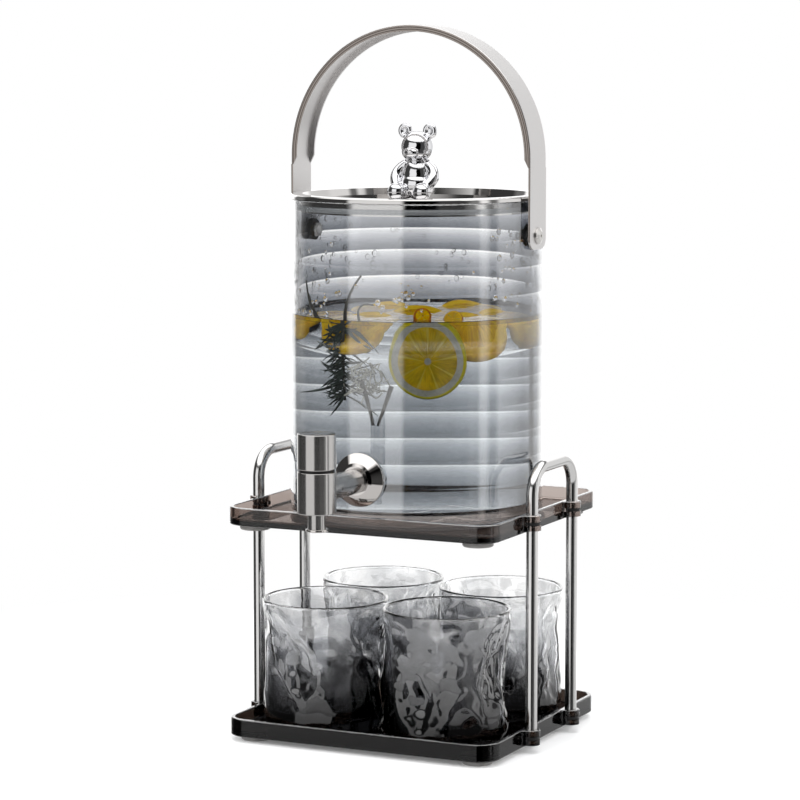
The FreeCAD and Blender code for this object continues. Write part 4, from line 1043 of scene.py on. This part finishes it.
@dataclass
class Cup:
    """One blown cup with soft folds pressed into its wall."""

    node: str
    turn: float
    smoke: Smoke
    foot_radius: float = 33.5 * MM
    # Radius and height of the wall's bends
    heel: Point = (37.25 * MM, 9 * MM)
    belly: Point = (38.4 * MM, 40 * MM)
    rim: Point = (37.6 * MM, 77 * MM)
    wall: float = 2.2 * MM
    base: float = 7.0 * MM
    # The folds on a third of the wall, by degrees round from its start, and then as Fold has them
    pattern: tuple[tuple[float, ...], ...] = (
        (0, 37 * MM, 27.5 * MM, 34 * MM, math.radians(16), 4.6 * MM),
        (60, 44 * MM, 27.5 * MM, 28.9 * MM, -math.radians(16), 3.68 * MM),
        (33, 15 * MM, 13 * MM, 13 * MM, 0.3, 3 * MM),
        (87, 61 * MM, 13 * MM, 12 * MM, -0.4, 3 * MM))
    fold_share: float = 0.8
    fold_blend: float = 0.4 * MM
    dent_count: int = 8
    # A dent deepens over this share of its reach, and ends in a low lip at these shares
    dent_slope: float = 0.6
    dent_end: float = 1.4
    lip_at: float = 1.06
    lip_width: float = 0.1
    lip_height: float = 0.3 * MM
    # How uneven a dent's edge is, and over what length
    edge_share: float = 0.3
    edge_length: float = 9 * MM
    # Soft waves in the blown wall: their depth, and their length and the share of the finer ones
    wave_depth: float = 0.6 * MM
    wave_length: float = 15 * MM
    fine_length: float = 6.5 * MM
    fine_share: float = 0.35
    # The folds die out over these heights above the foot and below the rim
    foot_fade: float = 5 * MM
    rim_fade: float = 9 * MM
    # The inner face follows the outer one a little less deeply
    inner_share: float = 0.8
    steps: int = 216
    rows: int = 112
    folds: list[Fold] = field(init=False)
    dents: list[Fold] = field(init=False)

    def __post_init__(self) -> None:
        """Turns the folds to this cup's side, and draws its dents by chance."""
        self.folds = [Fold(self.turn + third * TURN / 3 + math.radians(degrees), *rest)
                      for third in range(3) for degrees, *rest in self.pattern]
        chance = random.Random(round(math.degrees(self.turn)))
        self.dents = [Fold(2 * TURN * i / self.dent_count + chance.uniform(-0.3, 0.3), chance.uniform(14, 66) * MM,
                           chance.uniform(10, 18) * MM, chance.uniform(20, 36) * MM, chance.uniform(-0.8, 0.8),
                           chance.uniform(1.8, 3.6) * MM) for i in range(self.dent_count)]

    def outline(self, height: float) -> float:
        """Rounds the plain wall out from the foot to the belly and in again to the rim.

        Args:
            height: The height above the cup's foot.

        Returns:
            The wall's outer radius there.
        """
        knots = [(0.0, self.foot_radius), self.heel[::-1], self.belly[::-1], self.rim[::-1]]
        for (z0, r0), (z1, r1) in zip(knots, knots[1:]):
            if height <= z1:
                t = max((height - z0) / (z1 - z0), 0.0)
                ease = math.sin(t * math.pi / 2) if z0 == 0.0 else t * t * (3 - 2 * t)
                return r0 + (r1 - r0) * ease
        return self.rim[0]

    def fold_depth(self, angle: float, height: float) -> float:
        """Finds the deepest fold at a spot, with a soft bend where two meet.

        Args:
            angle: The spot's angle.
            height: The spot's height.

        Returns:
            The depth there.
        """
        total = 0.0
        for fold in self.folds:
            x, y = fold.share(angle, height, self.belly[0])
            depth = fold.depth * (1 - x ** 2 - y ** 2)
            gap = max(self.fold_blend - abs(total - depth), 0.0) / self.fold_blend
            total = max(total, depth) + gap * gap * self.fold_blend / 4
        return total * self.fold_share

    def dent_depth(self, angle: float, height: float) -> float:
        """Adds up the dents at a spot, each with an uneven edge and a low lip round it.

        Args:
            angle: The spot's angle.
            height: The spot's height.

        Returns:
            The depth there, negative on a lip.
        """
        total = 0.0
        for dent in self.dents:
            x, y = dent.share(angle, height, self.belly[0])
            seed = Vector((x * dent.across, y * dent.along, dent.across))
            away = math.hypot(x, y) + self.edge_share * noise.noise(seed / self.edge_length)
            if away < self.dent_end:
                inside = min(max((1.0 - away) / self.dent_slope, 0.0), 1.0)
                total += dent.depth * inside * inside * (3 - 2 * inside)
                total -= self.lip_height * math.exp(-((away - self.lip_at) / self.lip_width) ** 2)
        return total

    def depth(self, angle: float, height: float) -> float:
        """Adds up folds, dents and waves at a spot.

        Args:
            angle: The spot's angle.
            height: The spot's height.

        Returns:
            How deep the wall is pressed in there.
        """
        around = Vector((math.cos(angle), math.sin(angle), 0.0)) * self.belly[0]
        # Each cup's own turn sets its waves apart from the others'
        spot = around + Vector((0.0, 0.0, height + self.turn * self.belly[1]))
        waves = 0.5 + noise.noise(spot / self.wave_length) + self.fine_share * noise.noise(spot / self.fine_length)
        total = self.fold_depth(angle, height) + self.dent_depth(angle, height) + self.wave_depth * waves
        fade = min(height / self.foot_fade, (self.rim[1] - height) / self.rim_fade, 1.0)
        return max(total, 0.0) * max(fade, 0.0)

    def profile(self) -> list[Point]:
        """Draws the plain cup's section.

        Returns:
            Radius and height, from the middle of the foot over the rim to the middle of the floor.
        """
        side, top = self.rim
        outer = [(self.outline(top * i / self.rows), top * i / self.rows) for i in range(self.rows - 1)]
        heel = self.base + 4 * MM
        floor = self.outline(heel) - self.wall
        return [
            (0.0, 0.6 * MM), (self.foot_radius * 0.55, 0.6 * MM), (self.foot_radius * 0.8, 0.2 * MM), *outer,
            (side - 0.15 * MM, top - 0.6 * MM), (side - self.wall * 0.3, top - 0.1 * MM),
            (side - self.wall * 0.5, top), (side - self.wall * 0.7, top - 0.1 * MM),
            (side - self.wall + 0.15 * MM, top - 0.6 * MM),
            *((r - self.wall, z) for r, z in reversed(outer) if z > heel),
            (floor - 1.2 * MM, self.base + 1.6 * MM), (floor - 5 * MM, self.base + 0.2 * MM),
            (floor * 0.5, self.base), (0.0, self.base)]

    def press(self, angle: float, radius: float, height: float) -> Point:
        """Presses the folds into both faces of the wall.

        Args:
            angle: The angle of a spot on the plain cup.
            radius: Its radius.
            height: Its height.

        Returns:
            The radius and height that it is pressed to.
        """
        share = self.inner_share if radius < self.outline(height) - self.wall * 0.7 else 1.0
        # Under the foot and on the floor the folds die out towards the middle
        if radius < self.foot_radius * 0.9:
            share = (radius / self.foot_radius) ** 6
        return radius - self.depth(angle, height) * share, height

    def build(self) -> None:
        """Blows the cup, dresses it and puts it in place of the frame's plain one."""
        low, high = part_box(self.node)
        centre = (low + high) / 2
        build = bmesh.new()
        add_lathe(build, self.profile(), Matrix.Translation((centre.x, centre.y, low.z)), self.steps, self.press)
        cup = from_bmesh(f"{self.node}_glass", build)
        # Blown glass, smoked in the melt: clear lip, dark towards the thick base from smoke and from painted shade,
        # paler in the back pair
        FadedGlass(f"smoked_glass_{self.smoke.name.lower()}", ior=1.5, tint="#8C8C8F", density=30.0,
                   shadow="#C9C9CB", shine_ior=1.95, low=low.z, high=high.z, middle=self.smoke.value[0],
                   top=self.smoke.value[1]).dress(cup)
        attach(cup, self.node)
        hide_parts(self.node)
        log.info("%s blown", self.node)


# Drink
@dataclass(frozen=True)
class Spot:
    """A place in the jar in millimetres: to the right of the picture, towards the camera, and up."""

    across: float
    towards: float
    up: float

    def point(self) -> Vector:
        """Turns the place into the model's own axes.

        Returns:
            The place in metres.
        """
        bearing = math.radians(25.3)
        right = Vector((math.cos(bearing), math.sin(bearing), 0.0))
        front = Vector((math.sin(bearing), -math.cos(bearing), 0.0))
        return Vector((0.0, JAR_Y, 0.0)) + right * self.across * MM + front * self.towards * MM \
            + Vector((0.0, 0.0, self.up * MM))


@dataclass(frozen=True)
class Slice:
    """One slice of lemon: where it floats, its size in millimetres, how it is turned and its finishes."""

    name: str
    spot: Spot
    radius: float
    bearing: float
    tip: float
    spin: float
    peel: Finish
    pith: Finish
    flesh: Finish
    thick: float = 5.0
    wedges: int = 9
    # Whether pale skins show between its wedges, or it is soaked smooth
    skinned: bool = False


@dataclass(frozen=True)
class Stalk:
    """One stem or needle of the herb: root, the place it leans to, tip, and half its width in millimetres."""

    root: Spot
    middle: Spot
    tip: Spot
    width: float

    def path(self, steps: int = 8) -> list[Vector]:
        """Returns points along it."""
        return bend(self.root.point(), self.middle.point(), self.tip.point(), steps)


@dataclass
class Drink:
    """The water, the slices of lemon, the herbs and the drops on the glass."""

    level: float = 249.5 * MM
    bottom: float = 139.2 * MM
    radius: float = 72.1 * MM
    # The water climbs the glass by this much, over this width
    climb: float = 1.5 * MM
    climb_width: float = 3.4 * MM
    # Length, height and seed of the surface's ripples, and the width over which they die out at the glass
    ripples: tuple[Triple, ...] = ((14 * MM, 0.22 * MM, 0.3), (5 * MM, 0.07 * MM, 4.1))
    calm_width: float = 6 * MM
    # Where a slice changes: shares of its radius from the middle out to the flat face's edge
    slice_rows: tuple[float, ...] = (0.0, 0.05, 0.09, 0.13, 0.2, 0.3, 0.4, 0.5, 0.6, 0.68, 0.73, 0.765, 0.79,
                                     0.84, 0.89, 0.93)
    # Its rounded edge: shares of its radius, with shares of half its thickness
    slice_edge: tuple[Point, ...] = ((0.955, 1.0), (0.985, 0.86), (1.0, 0.55), (1.005, 0.0))
    core_share: float = 0.1
    flesh_share: float = 0.775
    pith_share: float = 0.935
    wedge_steps: int = 16
    # How proud the wedges of a slice stand between their skins
    swell_skinned: float = 0.35 * MM
    swell_smooth: float = 0.1 * MM
    needle_count: int = 130
    strand_count: int = 46
    # The herb keeps this far from the jar's axis
    herb_reach: float = 68 * MM
    # A needle's and a strand's width along its length, as shares of its full width
    needle_taper: tuple[float, ...] = (0.5, 0.85, 1, 1, 0.95, 0.9, 0.75, 0.5, 0.15)
    strand_taper: tuple[float, ...] = (0.6, 0.9, 1, 1, 1, 1, 0.9, 0.8, 0.5)
    drop_count: int = 330
    drop_groups: int = 34
    drop_wall: float = 71.75 * MM
    drop_top: float = 309 * MM
    # Still water: clear, very slightly grey-blue through the width of the jar
    water: Finish = ClearBody("water_still", ior=1.333, tint="#BCC8CE", density=5.0, shadow="#FAFBFC")
    # Drops of water: clear beads with a dark edge and a bright point
    drop: Finish = ClearBody("water_drops", ior=1.333, shadow="#F4F4F4")
    # Waxed lemon peel: glossy, yellow with a green cast, and pitted by its oil glands
    peel: Finish = PlantSkin("lemon_peel_waxed", "#B9A812", "#8C8A10", 0.9 * MM, 0.35)
    # Riper peel: the same skin in a warm full yellow
    ripe_peel: Finish = PlantSkin("lemon_peel_ripe", "#F5CC00", "#C98F00", 0.9 * MM, 0.35)
    # A browned end of peel that stands out of the water
    dark_peel: Finish = PlantSkin("lemon_peel_browned", "#C8770E", "#7A3E06", 0.9 * MM, 0.4)
    # Pith: spongy, matt and grey-white in the water
    pith: Finish = PlantSkin("lemon_pith_soaked", "#A5A298", "#7B7970", 1.6 * MM, 0.7)
    # Riper pith: matt, and yellow from the peel's own oil
    ripe_pith: Finish = PlantSkin("lemon_pith_yellow", "#F8D030", "#DDA812", 1.6 * MM, 0.7)
    # Flesh: glossy sacs of juice
    flesh: Finish = FruitFlesh("lemon_flesh_cut", "#C8A512", "#8F7808")
    # Riper flesh: brighter and fuller yellow sacs
    ripe_flesh: Finish = FruitFlesh("lemon_flesh_ripe", "#F2C400", "#B98A00")
    # The skins between the wedges: pale, thin and smooth
    membrane: Finish = PlantSkin("lemon_skin_between_wedges", "#BCA640", "#98862C", 1.2 * MM, 0.4)
    # Rosemary needles: dark green, grey beneath, dull
    needle: Finish = PlantSkin("rosemary_needle_fresh", "#3B4640", "#141A18", 0.7 * MM, 0.5)
    # Woody stems: dark grey-brown and dry-looking
    stem: Finish = PlantSkin("rosemary_stem_woody", "#4C4A45", "#1C1C1A", 1.0 * MM, 0.6)
    # Inner strands of the herb: wet and glossy, with a pale colour that is partly their own and partly painted
    # highlight
    strand: Finish = PlantSkin("herb_strand_wet", "#CFCCC2", "#8F8C82", 0.8 * MM, 0.25)

    def ripple(self, angle: float, radius: float, height: float) -> Point:
        """Stirs the water's surface a little round what floats in it.

        Args:
            angle: The angle of a spot on the still water.
            radius: Its radius.
            height: Its height.

        Returns:
            The radius and height that it is stirred to.
        """
        calm = self.radius - self.climb_width
        if height < self.level - MM or radius > calm:
            return radius, height
        x, y = radius * math.cos(angle), radius * math.sin(angle)
        waves = sum(noise.noise(Vector((x / length, y / length, seed))) * rise for length, rise, seed in self.ripples)
        return radius, height + waves * min((calm - radius) / self.calm_width, 1.0)

    def pour_water(self) -> None:
        """Makes the water: it reaches a little into the glass, so that no film of air shows between them."""
        top, side, foot = self.level, self.radius, self.bottom
        heel = bend(Vector((side - MM, foot)), Vector((side, foot)), Vector((side, foot + MM)), 6)
        calm = side - self.climb_width
        profile = [
            (0.0, foot), (40 * MM, foot), (side - 1.2 * MM, foot), *((spot.x, spot.y) for spot in heel),
            (side, top - 20 * MM), (side, top + self.climb),
            *((side - t * self.climb_width, top + self.climb * (1 - t) ** 2)
              for t in (0.15, 0.3, 0.5, 0.7, 0.85, 1.0)),
            *((calm * (1 - i / 40), top) for i in range(1, 40)), (0.0, top)]
        build = bmesh.new()
        add_lathe(build, profile, Matrix.Translation((0.0, JAR_Y, 0.0)), 160, self.ripple)
        water = from_bmesh("water", build)
        self.water.dress(water)
        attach(water, "jar")
        log.info("water poured")

    def slices(self) -> list[Slice]:
        """Sets the slices out: one upright at the front, others tipped behind it, and two ends of peel.

        Returns:
            All the slices.
        """
        soaked = (self.peel, self.pith, self.flesh)
        ripe = (self.ripe_peel, self.ripe_pith, self.ripe_flesh)
        return [
            Slice("lemon_slice_front", Spot(6.0, 61.5, 227.6), 21.6, 22.0, 2.0, 10.0, *soaked, skinned=True),
            Slice("lemon_slice_right", Spot(29, 33, 238.5), 19.5, 36.0, 55.0, 50.0, *ripe),
            Slice("lemon_slice_far_right", Spot(50, 10, 240.5), 16.5, 62.0, 56.0, 15.0, *ripe),
            Slice("lemon_slice_left", Spot(-31, 33, 240.5), 21.0, 6.0, 65.0, 80.0, *ripe),
            Slice("lemon_slice_middle", Spot(0, 9, 240.5), 21.5, 24.0, 62.0, 130.0, *ripe),
            Slice("lemon_slice_back_right", Spot(32, -26, 240.5), 20.0, 50.0, 60.0, 20.0, *ripe),
            Slice("lemon_slice_back_left", Spot(-20, -22, 240.5), 20.0, 8.0, 62.0, 5.0, *ripe),
            Slice("lemon_slice_far_left", Spot(-51, 6, 241.0), 15.0, -24.0, 64.0, 33.0, *ripe),
            Slice("lemon_bit_left", Spot(3, 42, 250.5), 5.2, 30.0, 30.0, 0.0, self.dark_peel, self.dark_peel,
                  self.ripe_flesh, thick=4.5, wedges=5, skinned=True),
            Slice("lemon_bit_right", Spot(21, 40, 248.5), 5.6, 10.0, 40.0, 0.0, self.dark_peel, self.ripe_pith,
                  self.ripe_flesh, thick=4.5, wedges=5, skinned=True),
        ]

    def cut_slice(self, cut: Slice) -> None:
        """Makes one slice: peel, pith, and wedges of flesh that stand a little proud between their skins.

        Args:
            cut: The slice's place and sizes.
        """
        steps = cut.wedges * self.wedge_steps
        swell = self.swell_skinned if cut.skinned else self.swell_smooth
        places = [(share, 1.0) for share in self.slice_rows] + list(self.slice_edge)
        places += [(share, -level) for share, level in reversed(places[:-1])]
        build = bmesh.new()
        rows = []
        for share, level in places:
            # The wedges' swell dies out towards the pith and towards the core
            proud = swell * min(max((self.flesh_share + 0.005 - share) / 0.06, 0.0), 1.0) * min(share / 0.12, 1.0)
            row = []
            for i in range(steps if share else 1):
                angle = TURN * i / steps
                arch = math.sin(math.pi * (i % self.wedge_steps) / self.wedge_steps) ** 0.5
                around = Vector((math.cos(angle) * 1.3, math.sin(angle) * 1.3, cut.spin))
                reach = share * cut.radius * MM * (1.0 + 0.012 * noise.noise(around))
                half = cut.thick * MM / 2 + (proud * arch if abs(level) == 1.0 else 0.0)
                row.append(build.verts.new((reach * math.cos(angle), reach * math.sin(angle), level * half)))
            rows.append(row)
        for number, (low, high) in enumerate(zip(rows, rows[1:])):
            outer = max(places[number][0], places[number + 1][0])
            for i, face in join_rows(build, low, high, steps):
                between = i % self.wedge_steps in (0, self.wedge_steps - 1)
                if outer > self.pith_share:
                    face.material_index = 0
                elif outer > self.flesh_share or outer < self.core_share:
                    face.material_index = 1
                else:
                    face.material_index = 3 if between and cut.skinned else 2
        piece = from_bmesh(cut.name, build)
        for finish in (cut.peel, cut.pith, cut.flesh, self.membrane):
            piece.data.materials.append(finish.make())
        piece.matrix_world = Matrix.Translation(cut.spot.point()) \
            @ Matrix.Rotation(math.radians(cut.bearing), 4, "Z") \
            @ Matrix.Rotation(math.radians(90 - cut.tip), 4, "X") @ Matrix.Rotation(math.radians(cut.spin), 4, "Z")
        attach(piece, "jar")
        log.info("%s cut", cut.name)

    def add_stalk(self, build: bmesh.types.BMesh, path: Sequence[Vector], widths: Sequence[float],
                  flat: float = 1.0) -> None:
        """Adds a leaf or stem along a path, with flat ends.

        Args:
            build: The bmesh that gets it.
            path: Its points from root to tip.
            widths: Its radius at each point.
            flat: How thick it is against its width.
        """
        sides = 8
        rows = []
        for i, (point, width) in enumerate(zip(path, widths)):
            ahead = path[min(i + 1, len(path) - 1)] - path[max(i - 1, 0)]
            ahead.normalize()
            side = ahead.cross(Vector((0.3, 0.2, 1.0))).normalized()
            up = side.cross(ahead)
            rows.append([build.verts.new(point + (side * math.cos(TURN * k / sides)
                                                  + up * math.sin(TURN * k / sides) * flat) * width)
                         for k in range(sides)])
        for low, high in zip(rows, rows[1:]):
            join_rows(build, low, high, sides)
        build.faces.new(rows[0])
        build.faces.new(rows[-1])

    def grow_needles(self, needles: bmesh.types.BMesh, roots: Sequence[Vector], chance: random.Random) -> None:
        """Adds needles that fan out from a stem, most of them to the left.

        Args:
            needles: The bmesh that gets them.
            roots: Points along the stem.
            chance: The source of the draws.
        """
        for i in range(self.needle_count):
            root = roots[2 + (i * (len(roots) - 3)) // self.needle_count]
            length = (chance.uniform(10, 25) if i % 2 else chance.uniform(6, 12)) * MM
            turn = chance.choice((-1, -1, -1, 1)) * chance.uniform(0.5, 1.2)
            droop = chance.uniform(-0.75, 0.35)
            away = Spot(math.sin(turn), math.cos(turn) * chance.uniform(-0.2, 0.6), droop).point() \
                - Spot(0, 0, 0).point()
            away = away.normalized() * length
            middle = root + away * 0.5 + Vector((0, 0, chance.uniform(-2, 3) * MM))
            tip = root + away
            flat_tip = Vector((tip.x, tip.y - JAR_Y))
            if flat_tip.length > self.herb_reach:
                flat_tip *= self.herb_reach / flat_tip.length
                tip = Vector((flat_tip.x, flat_tip.y + JAR_Y, tip.z))
            tip.z = min(tip.z, self.level - MM)
            thick = chance.uniform(0.8, 1.3) * MM
            self.add_stalk(needles, bend(root, middle, tip), [thick * w for w in self.needle_taper], 0.45)

    def curl_strands(self, strands: bmesh.types.BMesh, chance: random.Random) -> None:
        """Adds a loose tuft of pale strands beside the stem.

        Args:
            strands: The bmesh that gets them.
            chance: The source of the draws.
        """
        for _ in range(self.strand_count):
            first = Spot(chance.uniform(-38, -18), chance.uniform(44, 54), chance.uniform(208, 223)).point()
            curl = Vector([chance.uniform(-9, 9) * MM for _ in range(3)])
            reach = Vector([chance.uniform(-7, 7) * MM for _ in range(3)])
            width = chance.uniform(0.35, 0.6) * MM
            self.add_stalk(strands, bend(first, first + curl, first + reach), [width * w for w in self.strand_taper])

    def put_herbs(self) -> None:
        """Makes the rosemary: woody stems, needles, three stray leaves and a tuft of pale strands."""
        chance = random.Random(7)
        stems, needles, strands = bmesh.new(), bmesh.new(), bmesh.new()
        leading = Stalk(Spot(-41, 48, 246), Spot(-40, 46, 225), Spot(-38, 40, 203), 1.3)
        for stalk in (
                leading,
                Stalk(Spot(-31, 53, 216), Spot(-27, 55, 207), Spot(-24, 56, 190), 1.5),
                Stalk(Spot(-14, 60, 213), Spot(-17, 59, 203), Spot(-21.5, 58, 190), 1.4),
                Stalk(Spot(-56, 38, 249), Spot(-62, 38, 260), Spot(-63, 36, 272), 1.2),
                Stalk(Spot(-41, 46, 249), Spot(-42, 45, 262), Spot(-32, 44, 275), 1.1),
                Stalk(Spot(-33, 48, 249), Spot(-36, 47, 261), Spot(-25, 46, 258), 0.8)):
            self.add_stalk(stems, stalk.path(), [stalk.width * MM * (1 - 0.45 * i / 8) for i in range(9)])
        self.grow_needles(needles, leading.path(40), chance)
        for leaf in (
                Stalk(Spot(-48, 44, 250), Spot(-52, 46, 252), Spot(-57, 40, 251), 0.8),
                Stalk(Spot(-38, 48, 215), Spot(-50, 42, 208), Spot(-64, 20, 205), 1.5),
                Stalk(Spot(-38, 45, 208), Spot(-42, 44, 200), Spot(-47, 42, 194), 1.2)):
            self.add_stalk(needles, leaf.path(), [leaf.width * MM * w for w in self.needle_taper], 0.4)
        self.curl_strands(strands, chance)
        for name, build, finish in (("rosemary_stems", stems, self.stem), ("rosemary_needles", needles, self.needle),
                                    ("herb_strands", strands, self.strand)):
            piece = from_bmesh(name, build)
            finish.dress(piece)
            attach(piece, "jar")
        log.info("herbs put in")

    def bead_glass(self) -> None:
        """Sets drops of water in loose groups on the inside of the glass above the surface."""
        chance = random.Random(11)
        build = bmesh.new()
        groups = [(math.radians(chance.uniform(-180, 180)), chance.uniform(254, 306) * MM)
                  for _ in range(self.drop_groups)]
        for number in range(self.drop_count):
            middle, level = groups[number % len(groups)]
            angle = middle + chance.gauss(0.0, 0.11)
            height = min(max(level + chance.gauss(0.0, 7 * MM), self.level + 4 * MM), self.drop_top)
            size = chance.choice((0.6, 0.8, 1.0, 1.3, 1.7)) * MM
            spot = Vector((self.drop_wall * math.cos(angle), JAR_Y + self.drop_wall * math.sin(angle), height))
            # A drop is flattened against the glass and hangs a little long
            place = Matrix.Translation(spot) @ Matrix.Rotation(angle, 4, "Z") \
                @ Matrix.Diagonal((0.62, 1.0, chance.uniform(1.0, 1.35), 1.0))
            bmesh.ops.create_icosphere(build, subdivisions=2, radius=size, matrix=place)
        drops = from_bmesh("drops_on_glass", build)
        self.drop.dress(drops)
        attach(drops, "jar")
        log.info("glass beaded with drops")

    def build(self) -> None:
        """Fills the jar."""
        self.pour_water()
        for cut in self.slices():
            self.cut_slice(cut)
        self.put_herbs()
        self.bead_glass()


# Each cup's node, how far it is turned in degrees, and its smoke
CUPS = (("cup_front_left", 12, Smoke.CLEAR), ("cup_front_right", 155, Smoke.DEEP),
        ("cup_back_left", 260, Smoke.PALE), ("cup_back_right", 75, Smoke.PALE))


def main() -> None:
    """Builds every sub-assembly in order."""
    logging.basicConfig(level=logging.INFO, format="%(message)s")
    for assembly in (Studio(), Stand(), Jar(), Tap(), Lid(), Handle(), Drink(),
                     *(Cup(node, math.radians(turn), smoke) for node, turn, smoke in CUPS)):
        assembly.build()


if __name__ == "__main__":
    main()
